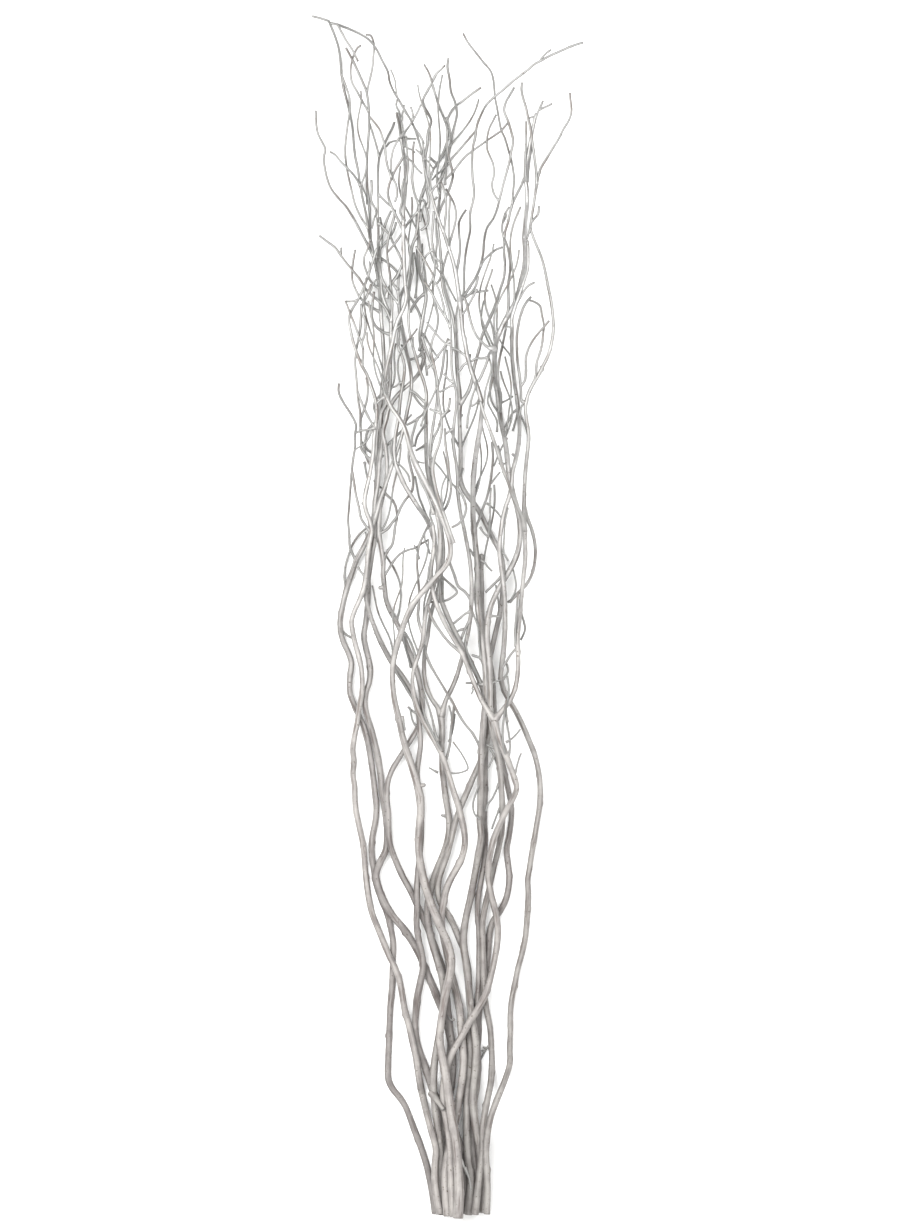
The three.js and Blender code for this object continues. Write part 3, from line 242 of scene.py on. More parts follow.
      twig(2, 1.3, "434,370 430,361 427,352 424,344 422,338"),
      twig(2.6, 1.6, "451,343 446,347 441,354 436,361 432,366 427,371"),
      twig(2, 1.3, "437,389 441,377 443,366 444,356 446,347 448,340"),
      twig(1.6, 1.2, "453,385 449,382 444,376"),
      twig(1.3, 1, "453,387 449,389 444,392 440,394"),
      twig(1.3, 1, "453,430 449,433 445,436")),
    stem("middle_bow", "1216:7.5 900:6 800:6 660:5 500:4.5 400:3.5 272:2",
      "468.5,1216 470,1197 471,1180 468.5,1163 467,1145 466.5,1127 466.5,1108 467,1090 469,1073 "
      + "470,1057 469.5,1040 470.5,1023 470.5,1007 469.5,991 468.5,975 466.5,961 462.5,948 "
      + "457.5,936 452.5,924 447,914 441.5,906 438,895 438.5,882 442,870 446.5,857 450.5,843 "
      + "453.5,830 457,817 462,804 467.5,791 473,778 478.5,766 483.5,753 487.5,740 489,725 "
      + "487.5,709 484,694 479,680 473,667 466,653 459,640 452.5,627 446.5,614 442,602 440,589 "
      + "439,576 438,563 436.5,550 434,540 430,527 425,517 418,507 411,496 405,486 400,475 "
      + "395.5,463 394,450 395.5,436 398,421 399.5,407 401,393 403.5,380 404.5,367 402,356 398,346 "
      + "399,330 400,317 399,304 398,290 399,272",
      twig(2.8, 1.8, "399,304 393,297 388,290 384,284 381,276"),
      twig(2.4, 1.5, "398,290 393,283 397,277 400,270 403,262")),
    stem("right_to_crown",
         "1214:8.6 1000:7.5 800:7 650:6.5 500:5.5 400:5 300:4.5 230:3.5 170:2.5 90:1.5 22:1",
      "484,1214 484,1192 483,1172 481,1156 479,1142 476,1128 474,1112 473,1098 474,1083 475.5,1067 "
      + "476,1050 474.5,1033 471.5,1015 469.5,998 468,980 466,963 463.5,946 464,932 466.5,916 "
      + "470,901 473,886 476,869 479,852 481,838 480,822 480.5,805 481,787 481,768 481.5,750 "
      + "482.5,733 484,716 485.5,700 486,684 485.5,668 484,652 482,636 479.5,620 477.5,604 477,589 "
      + "477.5,574 477,560 475.5,546 474,531 473,516 473,501 473,486 474,471 475.5,457 477.5,444 "
      + "479.5,432 481,419 482,407 479,395 474.5,382 470.5,371 467,358 465,346 462.5,333 461.5,319 "
      + "460,305 458,291 456,277 453,264 449,251 444.5,238 440,226 436,214 433,203 430,192 427,181 "
      + "424.5,170 422.5,158 419.5,146 416,134 411.5,124 405,113 399.5,103 394,94 390,84 388,73 "
      + "382,61 376,49 369,40 360,33 350,27 336,22",
      twig(2.6, 0.9, "460,304 463,298 464,288 464,275 465,260 467,247 470,232 470,215 473,203 "
      + "474,193 472.5,180 472,165 472.5,152 475,140 477,128 481,118 486,109 494,101 503,94 512,86 "
      + "520,80 528,74 534,69 540,66 549,61 558,57 567,53 575,50 582,48"),
      twig(3, 1.2, "460,303 466,295 471,287 476,279 480,269 483,255 484,242 487,229 493,220 "
      + "497,210 500,198 503,186 506,175 509,164 511,153 513,143 511,133 508,123 504,112 506,103 "
      + "510,96 514,89"),
      twig(1, 0.9, "499,202 494,195 492,185 494,175 493,165 490,158 487,150 487,140 489,130 "
      + "493,122 496,116"),
      twig(1.1, 0.9, "539,66 542,62 546,58 550,55"),
      twig(1.3, 0.9, "461,301 469,297 474,295 480,294 488,293"),
      twig(1.8, 1.2, "456,277 459,262 460,248 459,235 459,225 462,218 466,212"),
      twig(1.3, 1, "448,250 452,238 455,227 456,217 454,207 450,199 446,192"),
      twig(2.5, 1.6, "481,750 473,734 465,724 458,713 453,703 448,695 442,685 436,675 430,664 "
      + "426,654 424,645"),
      twig(2.5, 2, "485,684 478,684 472,683 466,683"),
      twig(2.5, 1.5, "474,530 479,520 483,508 487,497 490,484 492,470 493,456 492,442"),
      twig(1.4, 1.2, "416,133 419,137 422,142 424,147"),
      twig(2, 1.6, "484,658 478,657 472,655"),
      twig(1.6, 1.2, "466,360 461,355 456,352 452,351"),
      twig(1.3, 0.9, "468.5,364 464,367 461,371 458,375"),
      twig(1, 0.8, "480,269 484,262 489,257 495,252 502,249"),
      twig(1.8, 1.2, "460,301 465,300 469,297 473,293 476,287 478,279"),
      twig(1.5, 1, "461.5,318 466,312 470,305 473,299 477,292"),
      twig(1.3, 1, "430,196 434,192 438,187 441,181"),
      twig(1.5, 1, "443,236 445,226 446,214 446,203 444,194 441,186")),
    stem("right_tall", "1215:7.5 1040:6 700:6 560:5.5 430:5 330:5 230:4.5 150:4 114:3.5",
      "475,1215 477,1197 479,1179 481.5,1161 483,1144 483,1128 485,1112 488,1097 491,1082 492,1066 "
      + "491.5,1048 490,1028 487,1013 485,1000 484,985 483.5,970 483,955 482.5,940 482.5,925 "
      + "484.5,911 487.5,897 490.5,884 493.5,870 497,856 500,842 502,828 502.5,814 502,800 501,785 "
      + "500,770 498,755 494.5,740 491.5,723 490,706 490,690 489.5,675 489,660 487.5,645 487,631 "
      + "488,618 491,606 496,594 502,583 508,573 514,562 518.5,549 520,535 519.5,522 517,508 "
      + "513,494 510,480 508,466 506.5,452 504.5,438 501.5,424 499.5,410 498,396 496,382 494.5,368 "
      + "494.5,353 497,340 502,328 508,317 514,306 518,294 521,281 524,268 525,252 524.5,236 "
      + "525.5,220 527,205 527,192 525.5,178 526,165 528.5,152 531,138 533.5,126 536,114",
      twig(1.4, 0.9, "535,119 539,110 543,101"),
      twig(1, 0.9, "539,110 546,107 552,104"),
      twig(3, 1.6, "494,351 488,350 482,345 476,338 472,329 469,318 467,308 464,300"),
      twig(2.6, 2, "494,350 489,356 487,363 484,371 481,378 478,384"),
      twig(1.3, 1.1, "488,360 481,361 476,361 471,364"),
      twig(3, 2, "500,412 501,398 498,383 498,370 500,357 503,343 505,333 507,322"),
      twig(2, 1.5, "505,322 508,310 508,298 508,285 510,270 509,258 507,248 504,240"),
      twig(1.3, 1.1, "488,616 494,616 500,617")),
    stem("right_outer", "1214:7 1050:6 900:6 750:5.5 600:5 450:4.5 350:4 244:3",
      "487,1214 487.5,1193 487,1172 486,1152 487.5,1134 491,1116 496,1102 501,1090 506,1078 "
      + "510,1065 510,1050 510.5,1033 510.5,1014 512,1000 515,985 518,970 522,955 525.5,939 "
      + "527,924 528,909 528.5,895 528,881 530,868 532,854 534.5,840 537,825 539.5,810 540.5,796 "
      + "540,782 538,768 534.5,754 529,740 523,726 516,712 509.5,701 504,690 500.5,678 502,663 "
      + "504,646 505,628 505,611 504.5,596 503,581 501,567 499.5,553 500,538 502,523 505,509 "
      + "509,497 511.5,485 512.5,472 515.5,460 518,448 519.5,435 519.5,421 518.5,408 517,396 "
      + "515,384 513.5,371 512,358 511.5,345 511.5,332 511.5,320 515,308 519,297 523,285 527,272 "
      + "527.5,258 527,244",
      twig(1.4, 1, "514,312 518,303 522,296 527,289 534,285"),
      twig(1.5, 1.1, "501,681 505,677 508,671 507,664")),
    stem("left_front", "1214:7 900:6 750:5.5 600:5 480:4.2 400:3.6 310:2.8 248:1.8",
      "440,1214 437,1200 435,1182 435,1165 436,1150 434,1140 429,1122 423,1100 419.5,1082 "
      + "416.5,1062 413,1045 409,1027 404.5,1010 402,995 399,980 394,967 389,957 384,945 378,930 "
      + "372,915 369,902 367,890 365,872 364,858 362.5,845 359,828 355.5,811 354.5,798 354,786 "
      + "352.5,775 353.5,762 352.5,750 354,738 357,722 359,707 361.5,694 362,681 361,667 358,654 "
      + "355,643 352.5,631 351.5,621 354.5,611 359,601 363,591 365.5,579 367,566 368,553 370,541 "
      + "371.5,531 369.5,520 366,511 364.5,501 366.5,489 369.5,476 371.5,463 373.5,450 374,438 "
      + "376,425 377,412 376,401 371.5,387 367,375 362,366 357.5,355 353.5,343 350.5,330 349,318 "
      + "352,309 357,301 362,291 366,281 369.5,271 373,260 377,248",
      twig(2, 1, "364,460 362,450 361,437 360,425 360,412 358,400 357,388 356,375 355,362 356,350 "
      + "358,340 360,328 361,315 362,305 367,295 371,284"),
      twig(1.6, 1, "374,428 370,420 365,410 361,401 358,392"),
      twig(1.2, 1, "360,430 361,418 364,409 367,398 367.5,386 366,377"),
      twig(1.8, 1.2, "369,532 366,526 361,518 359,508 356,495 354,482 352,470"),
      twig(1.4, 1, "361,366 363,356 363,349 361,342 358,334 354,323 350,313 347,305 345,301"),
      twig(1.3, 1, "376,428 368,430 361,431 356,433"),
      twig(1.5, 1.3, "365,577 361,572 358,567"),
      twig(1.6, 1.1, "361,343 364,336 365.5,328 365,320 362,311 361,304"),
      twig(1.2, 0.9, "357,300 352,301 345,301")),
    stem("middle_slim", "1216:8 1050:7.5 850:6.5 750:5.5 680:4 500:4 400:3.5 320:2.5 235:1.5",
      "447.5,1216 446,1198 445,1180 446.5,1163 449.5,1147 453,1132 456,1118 458,1104 460.5,1090 "
      + "462.5,1075 463.5,1060 462.5,1045 461,1030 460,1014 457.5,999 454,985 450.5,972 447.5,958 "
      + "444.5,944 442,930 441.5,916 443.5,903 446,891 450.5,880 456.5,869 461.5,859 464.5,847 "
      + "464.5,834 462,821 458.5,807 454,793 449.5,778 445.5,765 441,753 434.5,741 427,728 420,715 "
      + "415.5,702 413,689 412.5,677 415,665 419,654 422.5,642 424,629 425.5,615 428.5,602 "
      + "432.5,590 436,578 438.5,565 440,551 440,537 438.5,523 436,509 432.5,495 429.5,482 427,469 "
      + "426,455 426,440 426,424 426,408 426.5,394 424,382 420,371 416.5,359 413,347 410,335 "
      + "408.5,322 409,309 409,296 409,284 410,270 411,257 413,244 418,235",
      twig(3.2, 2.2, "424,634 420,626 418,615 419,603 419,590 418,577 417,563 418,551 420,543 "
      + "424,534 428,526"),
      twig(2, 1.2, "441,517 446,508 450,497 451,486 449,474 448,462 446,450 445,440 445,430"),
      twig(1.4, 1, "409,291 411,280 413,270 413,260 414,253"),
      twig(2, 1.5, "426,403 421,399 417,395 413,392 410,391"),
      twig(1.5, 1.1, "426,409 421,405 417,400 413,394"),
      twig(1.6, 1.1, "426,409 422,415 416,420 411,423 407,425"),
      twig(1.3, 1, "418,418 416,423 414,430 412,438 413,447"),
      twig(1.6, 1.2, "426,423 421,430 417,437 415,446"),
      twig(1.4, 1, "426,444 421,447 416,450")),
    stem("right_wishbone", "1216:7 950:6.5 800:6 720:6",
      "453,1216 452,1196 451,1176 450.5,1156 449,1136 446,1118 443.5,1101 443.5,1085 446,1070 "
      + "450.5,1057 456,1046 462.5,1035 469,1023 476,1012 483,1000 488,988 491.5,975 494.5,961 "
      + "497,946 498,931 496.5,917 493.5,904 490.5,892 488.5,879 488.5,866 490.5,853 493.5,840 "
      + "498,828 503,817 508,807 513,798 516.5,788 514,777 509,763 503,748 498,735 494,720",
      twig(5, 4, "494,720 488,711 482,701 477,690 472,678 467,665 461.5,652 455,641 448,629 "
      + "441.5,616 436.5,604 433,592 431,579 431.5,566 433.5,552 434.5,539 433,526"),
      twig(5, 2, "494,720 500,713 507,704 512.5,695 516,684 518,669 518,654 517.5,639 519,623 "
      + "520.5,607 522,591 523.5,576 525,561 525,546 524.5,531 524,516 524,501 524.5,486 525.5,471 "
      + "527,456 528.5,442 528.5,430 526.5,418 525.5,406 528,395 532.5,385 538,376 543,366 548,356 "
      + "551.5,344 553.5,330 553,315 551,300 548,285 545,270 541.5,257 537,246 533,236 530.5,227 "
      + "532,215 534,203 536,190 538,178 541,168 547,158 553,148 558.5,139 563.5,129 569,120 "
      + "571.5,111 570.5,100 570,93"),
      twig(3, 2, "461,653 454,647 447,640 440,631 434,622 430,613 428,605"),
      twig(4.5, 3.5, "524,531 522,519 517,507 512,496 508,484 503,471 499,459 495,447 491,436 "
      + "487,425 483,414 480,404"),
      twig(4, 3.2, "524,508 528,520 532,531 535,545 535,560 532,574 526,585 518,593 510,602"),
      twig(2.5, 1.6, "527,402 522,401 521,390 520,378 518,365 517,350 517,335 519,322 522,311 "
      + "526,303 531,297"),
      twig(1.4, 1, "522,386 525,380 526,370 526,358 528,350 532,342 537,335 543,328 549,321"),
      twig(1.6, 1, "533,384 536,374 537,362 540,353 542,345 543,335 544,326 542,315 540,306 "
      + "535,302 529,300"),
      twig(2.6, 2.2, "543,372 543,369 541,366"),
      twig(3, 1.8, "537,185 536,170 534,155 532,140 530,127 528,118 526,108 523,98 521.5,90 "
      + "522,83"),
      twig(1.5, 1.1, "518,647 511,654 506,662 502,668"),
      twig(1.4, 1.1, "520,610 524,622 525,630 521,640"),
      twig(1.6, 1.3, "534,222 538,214 539,206")),
    stem("centre_front", "1217:10 1050:8 800:8 700:6 600:5.5 480:5 350:4 200:4 112:3",
      "458,1217 459,1195 458.5,1172 457,1152 455,1135 452,1117 449.5,1100 447,1084 444.5,1068 "
      + "441.5,1053 439.5,1038 441,1022 443.5,1006 446,992 449,979 451,966 450,953 446.5,941 "
      + "441,929 436,917 431,904 427,892 423.5,879 420.5,864 418.5,848 419,831 420.5,814 420,799 "
      + "417,784 412,767 406.5,751 402.5,737 399,720 395,703 393,688 392.5,673 394,659 397.5,645 "
      + "402,630 407,616 413,604 421,594 429,585 437,576 445,567 450,556 450,543 446.5,530 "
      + "441.5,517 436,504 429.5,491 423,478 416.5,465 411,452 408,439 404,427 398,417 391.5,408 "
      + "386.5,398 385,385 386.5,370 389.5,356 392.5,343 395,330 398.5,319 403.5,309 406.5,298 "
      + "405.5,286 404.5,272 404,257 403.5,242 403.5,226 403.5,210 405,194 405.5,178 405,163 "
      + "403,150 401,137 399,124 396.5,112",
      twig(2, 1.3, "404,232 399,222 394,212 390,203 388,194 389,186 392,177 396,169 401,161 "
      + "404,155"),
      twig(1.3, 1, "392,177 391,165 392,155 394,148 397,142 399,138"),
      twig(1.2, 1, "392,177 396,185 397,195 395,202"),
      twig(1.2, 0.9, "391,178 388,168 386,158 385,148 383,140 380,131 375,124 370,118"),
      twig(1.6, 1.2, "402,135 409,130 413,124 418,115 421,108"),
      twig(1.2, 1, "413,124 413,117 411,110"),
      twig(2.6, 2.2, "386,397 381,400 377,404")),
    stem("caught_piece", "544:4 351:2",
      "454,544 450,533 446,521 441.5,508 437.5,495 434.5,482 433,469 435,457 439,446 441.5,434 "
      + "442,422 440,411 438.5,400 438,388 436,375 433,362 430,351",
      twig(1.5, 1.1, "440,415 435,413 430,411"),
      twig(1.5, 1, "442,418 446,414 449,408 450,400")),
]
print("stems:", len(BUNCH), "twigs:", sum(len(plan["twigs"]) for plan in BUNCH))

# %% [markdown]
# ## From the photograph to the table
# A point carries its place, its radius and, once the stem has been laid down, its height. Column
# 446 of the photograph is X = 0 and row 1217, where the stems are cut off, is Y = 0.

# %% Points and diameters
PHOTO_CENTRE_X = 446  # column
PHOTO_CUT_END_Y = 1217  # row


class Point:
    """One place along a stem, in millimetres."""

    def __init__(self, x, y, r=0.0, fixed=False):
        self.x, self.y, self.r, self.fixed = x, y, r, fixed
        self.z = self.rest = self.wish = 0.0
        self.index = None


def points(run):
    """The places of a route, seen from above."""
    places = []
    for pair in run.split(" "):
        column, row = pair.split(",")
        places.append(Point((float(column) - PHOTO_CENTRE_X) * PIXEL,
                            (PHOTO_CUT_END_Y - float(row)) * PIXEL))
    return places


def radius_at(girth, y):
    """The radius of a stem at a distance y from the cut ends."""
    marks = [mark.split(":") for mark in girth.split(" ")]
    heights = [(PHOTO_CUT_END_Y - float(row)) * PIXEL for row, _ in marks]
    return float(np.interp(y, heights, [float(diameter) / 2 for _, diameter in marks]))


print("first stem starts at", [(p.x, p.y) for p in points(BUNCH[0]["run"])[:2]])

# %% [markdown]
# ## Twigs grow from their stem
# A twig that is drawn near its stem has to start in the middle of it, or a gap shows. So the root
# moves to the nearest place on the stem, and the stem gets a point there, which both then share.

# %% Rooting a twig
def nearest_on(p, a, b):
    """How far along the length from a to b the place nearest to p is, and its distance."""
    dx, dy = b.x - a.x, b.y - a.y
    square = dx * dx + dy * dy
    t = min(1, max(0, ((p.x - a.x) * dx + (p.y - a.y) * dy) / square)) if square else 0
    return t, math.hypot(p.x - a.x - dx * t, p.y - a.y - dy * t)


def root_in(tubes, start):
    """The point of an earlier tube where a twig is rooted."""
    best = (math.inf,)
    for tube in tubes:
        for i in range(1, len(tube["path"])):
            t, distance = nearest_on(start, tube["path"][i - 1], tube["path"][i])
            if distance < best[0]:
                best = (distance, tube, i, t)
    _, tube, i, t = best
    a, b = tube["path"][i - 1], tube["path"][i]
    if t in (0, 1):
        root = b if t else a
        root.fixed = True
        return root
    root = Point(a.x + (b.x - a.x) * t, a.y + (b.y - a.y) * t, a.r + (b.r - a.r) * t, True)
    tube["path"].insert(i, root)
    return root


# %% [markdown]
# ## The pile is worked out on fewer points
# Heights are found on the same straight lengths as in the solids, so that both piles are equal. The
# points in between are put back afterwards, which gives the dressed stems their full curl.

# %% Straight lengths of the solids
CHORD = 1.1  # how far a straight length may cut the corner of a stem's bend
TWIG_CHORD = 1.3
LONGEST_STEP = 34
TWIG_SHARE = 0.85  # a twig's root is at most this share of its parent's diameter
SOLID_SIDES = ((5.2, 6), (3.6, 5), (2.3, 4), (0, 3))  # above this diameter: this many sides


def sides_for(diameter, table):
    """How many sides a tube of this diameter has in a table of diameters and sides."""
    return next(sides for least, sides in table if diameter > least)


def thin(path, chord):
    """The points of a path that a straight length can't skip."""
    kept, start = [path[0]], 0
    while start < len(path) - 1:
        end = start + 1
        for ahead in range(start + 2, len(path)):
            a, b = path[start], path[ahead]
            skipped = path[start + 1:ahead]
            straight = all(not p.fixed and nearest_on(p, a, b)[1] < chord for p in skipped)
            if not straight or math.hypot(a.x - b.x, a.y - b.y) > LONGEST_STEP:
                break
            end = ahead
        kept.append(path[end])
        start = end
    return kept


# %% One stem and its twigs, seen from above
def lay_out(plan):
    """The stem's own tube first, then its twigs, each with all its points and the kept ones."""
    trunk = points(plan["run"])
    for p in trunk:
        p.r = radius_at(plan["girth"], p.y)
    tubes = [{"path": trunk, "sides": sides_for(2 * trunk[0].r, SOLID_SIDES),
              "root_radius": trunk[0].r}]
    for part in plan["twigs"]:
        route = points(part["run"])
        root = root_in(tubes, route[0])
        width = min(part["root"], TWIG_SHARE * 2 * root.r) / 2
        for i, p in enumerate(route):
            p.r = width + (part["tip"] / 2 - width) * i / (len(route) - 1)
        route[0] = root
        tubes.append({"path": route, "sides": sides_for(2 * width, SOLID_SIDES),
                      "root_radius": width})
    for i, tube in enumerate(tubes):
        tube["all"] = tube["path"]
        tube["path"] = thin(tube["path"], TWIG_CHORD if i else CHORD)
    return tubes


bunch = [lay_out(plan) for plan in BUNCH]
print("points:", sum(len(tube["all"]) for tubes in bunch for tube in tubes),
      "kept for the pile:", sum(len(tube["path"]) for tubes in bunch for tube in tubes))

# %% [markdown]
# ## How a stem lies
# With nothing under it, a stem touches the table at the bottom of each turn of its curl and rises
# between. The curl is weak near the cut end, where the wood is thick, and widest in the crown. How
# long a turn is differs from stem to stem. It comes from a small draw with a fixed seed, so that
# every run of this script gives the same pile.

# %% Distances along a stem
def network(tubes):
    """All points of a stem, the straight lengths between them, and all distances along it."""
    nodes, links = [], []
    for tube in tubes:
        for p in tube["path"]:
            if p.index is None:
                p.index = len(nodes)
                p.rest = p.r * math.cos(math.pi / tube["sides"])
                nodes.append(p)
        for a, b in zip(tube["path"], tube["path"][1:]):
            links.append((a, b, math.hypot(a.x - b.x, a.y - b.y), tube["sides"]))
    distance = np.full((len(nodes), len(nodes)), np.inf)
    np.fill_diagonal(distance, 0)
    for a, b, length, _ in links:
        distance[a.index, b.index] = distance[b.index, a.index] = length
    for k in range(len(nodes)):
        distance = np.minimum(distance, distance[:, k:k + 1] + distance[k:k + 1, :])
    return nodes, links, distance


# %% Heights that a stem would take on a bare table
STRAIGHT_BUTT = 180  # length from the cut end that lies flat
FULL_CURL = 1050  # distance from the cut end where the curl is widest
CURL_HEIGHT = 32
SHORTEST_TURN, LONGEST_TURN = 152, 247
LYING_SHARE = 0.2  # share of each turn's rise that is pressed flat on the table
LEAST_LEAN, MOST_LEAN = -0.04, 0.3  # rise of a twig for each millimetre of its run
HIGHEST_WISH = 95
MULTIPLIER, ADDEND, MODULUS = 1664525, 1013904223, 2 ** 32  # a common generator for small draws


def draws(seed):
    """The same numbers between 0 and 1 each time."""
    state = seed
    while True:
        state = (state * MULTIPLIER + ADDEND) % MODULUS
        yield state / MODULUS


def wish_heights(tubes, distance, draw):
    """Sets each point's wish: a corkscrew for the stem, and a straight rise for each twig."""
    start = tubes[0]["path"][0].index
    turn = SHORTEST_TURN + (LONGEST_TURN - SHORTEST_TURN) * next(draw)
    phase = 2 * math.pi * next(draw)
    for p in tubes[0]["path"]:
        along = distance[start, p.index]
        grown = min(1, max(0, (along - STRAIGHT_BUTT) / (FULL_CURL - STRAIGHT_BUTT)))
        grown = grown * grown * (3 - 2 * grown)
        swing = 0.5 - 0.5 * math.cos(2 * math.pi * along / turn + phase)
        p.wish = p.rest + grown * CURL_HEIGHT * max(0, swing - LYING_SHARE) / (1 - LYING_SHARE)
    for tube in tubes[1:]:
        lean = LEAST_LEAN + (MOST_LEAN - LEAST_LEAN) * next(draw)
        root = tube["path"][0]
        for p in tube["path"][1:]:
            rise = root.wish + lean * distance[root.index, p.index]
            p.wish = max(p.rest, min(rise, HIGHEST_WISH))


# %% [markdown]
# ## Laying one stem across the others
# A real bunch is a pile: a stem that crosses another has to pass over it. Two stems may not run
# through each other, and a stiff stem can't jump up and down again in a short space. So wherever a
# stem crosses others it is lifted clear, and the lift falls off in a shallow arc on both sides. A
# physics engine could drop the stems, but then they would slide away from the photograph.

# %% Clearance over the stems already laid
GAP = 0.4  # air left between two stems that cross
SAMPLES_PER_STEP = 7


def as_columns(lengths):
    """The laid straight lengths as arrays, one number for each length."""
    rows = [(a.x, a.y, a.z, a.r, b.x, b.y, b.z, b.r, slope,
             1.0 if sides % 2 else math.cos(math.pi / sides)) for a, b, slope, sides in lengths]
    return np.array(rows).T


def needs(nodes, links, laid):
    """The least height of each point that keeps its lengths clear of all the laid ones."""
    need = np.array([p.rest for p in nodes])
    if not laid:
        return need
    ax, ay, az, ar, bx, by, bz, br, under_slope, top = as_columns(laid)
    reach_most = np.maximum(ar, br) + GAP
    for a, b, length, sides in links:
        t = np.arange(SAMPLES_PER_STEP + 1)[:, None] / SAMPLES_PER_STEP
        x, y, r = a.x + (b.x - a.x) * t, a.y + (b.y - a.y) * t, a.r + (b.r - a.r) * t
        widest = max(a.r, b.r)
        near = ((np.minimum(ax, bx) - reach_most - widest <= x.max())
                & (np.maximum(ax, bx) + reach_most + widest >= x.min())
                & (np.minimum(ay, by) - reach_most - widest <= y.max())
                & (np.maximum(ay, by) + reach_most + widest >= y.min()))
        if not near.any():
            continue
        dx, dy = (bx - ax)[near], (by - ay)[near]
        u = ((x - ax[near]) * dx + (y - ay[near]) * dy) / (dx * dx + dy * dy)
        u = np.clip(u, 0, 1)
        apart = np.hypot(x - ax[near] - dx * u, y - ay[near] - dy * u)
        under_r = ar[near] + (br - ar)[near] * u
        reach = r + under_r + GAP
        flats = r * math.cos(math.pi / sides) + top[near] * under_r + GAP
        rounded = np.sqrt(np.maximum(0, reach * reach - apart * apart))
        lean = under_slope[near] * r + abs(b.z - a.z) / length * under_r
        z = az[near] + (bz - az)[near] * u + np.minimum(flats, rounded) + lean
        if (apart < reach).any():
            highest = z[apart < reach].max()
            need[a.index] = max(need[a.index], highest)
            need[b.index] = max(need[b.index], highest)
    return need


# %% Settling a stem into the pile
STIFFNESS = 200  # radius of the tightest hump that a stem makes over another
SETTLE_PASSES = 8
EASE_PASSES = 5
OWN_WEIGHT = 2


def settle(nodes, links, distance, laid):
    """Finds the height of every point of a stem, and adds its lengths to the laid ones."""
    rest = np.array([p.rest for p in nodes])
    wish = np.array([p.wish for p in nodes])
    first = np.array([a.index for a, _, _, _ in links])
    second = np.array([b.index for _, b, _, _ in links])
    held = np.zeros(len(nodes))
    height = rest.copy()
    for p, z in zip(nodes, height):
        p.z = z
    for _ in range(SETTLE_PASSES):
        held = np.maximum(held, needs(nodes, links, laid))
        arcs = held[None, :] - distance ** 2 / (2 * STIFFNESS)
        height = np.maximum(wish, arcs.max(axis=1))
        lies = (wish == rest) & (held == rest)
        for _ in range(EASE_PASSES):
            total, weight = OWN_WEIGHT * height, np.full(len(nodes), float(OWN_WEIGHT))
            np.add.at(total, first, height[second])
            np.add.at(total, second, height[first])
            np.add.at(weight, first, 1)
            np.add.at(weight, second, 1)
            height = np.where(lies, rest, np.maximum(held, total / weight))
        for p, z in zip(nodes, height):
            p.z = float(z)
    laid.extend((a, b, abs(b.z - a.z) / length, sides) for a, b, length, sides in links)


laid = []
for order, tubes in enumerate(bunch):
    nodes, links, distance = network(tubes)
    wish_heights(tubes, distance, draws(order + 1))
    settle(nodes, links, distance, laid)
print("lengths laid:", len(laid), "highest point in mm:", round(max(a.z for a, *_ in laid), 1))

# %% [markdown]
# ## Where the bunch stands
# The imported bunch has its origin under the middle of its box. The same middle is found here from
# rings like those of the solids: a ring of points across the stem at each kept place.

# %% Rings across a tube
UP = np.array([0.0, 0.0, 1.0])


def across(centres):
    """Two directions square to the line at each of its points: sideways and upwards."""
    padded = np.concatenate([centres[:1], centres, centres[-1:]])
    ahead = padded[2:] - padded[:-2]
    ahead /= np.linalg.norm(ahead, axis=1, keepdims=True)
    side = np.cross(ahead, UP)
    side /= np.linalg.norm(side, axis=1, keepdims=True)
    return side, np.cross(side, ahead)


def rings(centres, radii, angles):
    """Points round a line: one ring for each centre, one point for each angle, 0 is upwards."""
    side, up = across(centres)
    reach = np.broadcast_to(radii, (len(centres), len(angles)))[:, :, None]
    out = np.sin(angles)[:, None] * side[:, None, :] + np.cos(angles)[:, None] * up[:, None, :]
    return centres[:, None, :] + reach * out


# %% The middle of the solids
lowest, highest = np.full(3, np.inf), np.full(3, -np.inf)
for tubes in bunch:
    for tube in tubes:
        kept = np.array([(p.x, p.y, p.z) for p in tube["path"]])
        radii = np.array([p.r for p in tube["path"]])
        radii[0] = tube["root_radius"]
        angles = math.pi + math.pi / tube["sides"] * (1 + 2 * np.arange(tube["sides"]))
        ring = rings(kept, radii[:, None], angles).reshape(-1, 3)
        lowest, highest = np.minimum(lowest, ring.min(0)), np.maximum(highest, ring.max(0))
middle = (lowest + highest) / 2
middle[2] = 0

PHOTO_MIDDLE = (PHOTO_WIDTH / 2 - PHOTO_CENTRE_X, PHOTO_CUT_END_Y - PHOTO_HEIGHT / 2)
camera.location = ((PHOTO_MIDDLE[0] - middle[0]) * MM, (PHOTO_MIDDLE[1] - middle[1]) * MM,
                   (camera_distance + MIDDLE_HEIGHT) * MM)

# %% [markdown]
# ## A smooth line through the bends
# The stems are drawn as meshes of rings and not as curve objects with a bevel, because bark isn't
# round: knots, bud scars and collars push it out on one side. First a smooth line runs through all
# points of the route. It is a Hermite curve whose direction at each point is that from the point
# before to the point after.

# %% Fine centre lines
STEM_RING_STEP = 2.2  # distance between rings on a stem, short enough to carry a bud scar
TWIG_RING_STEP = 1.8
LEAST_RINGS = 4


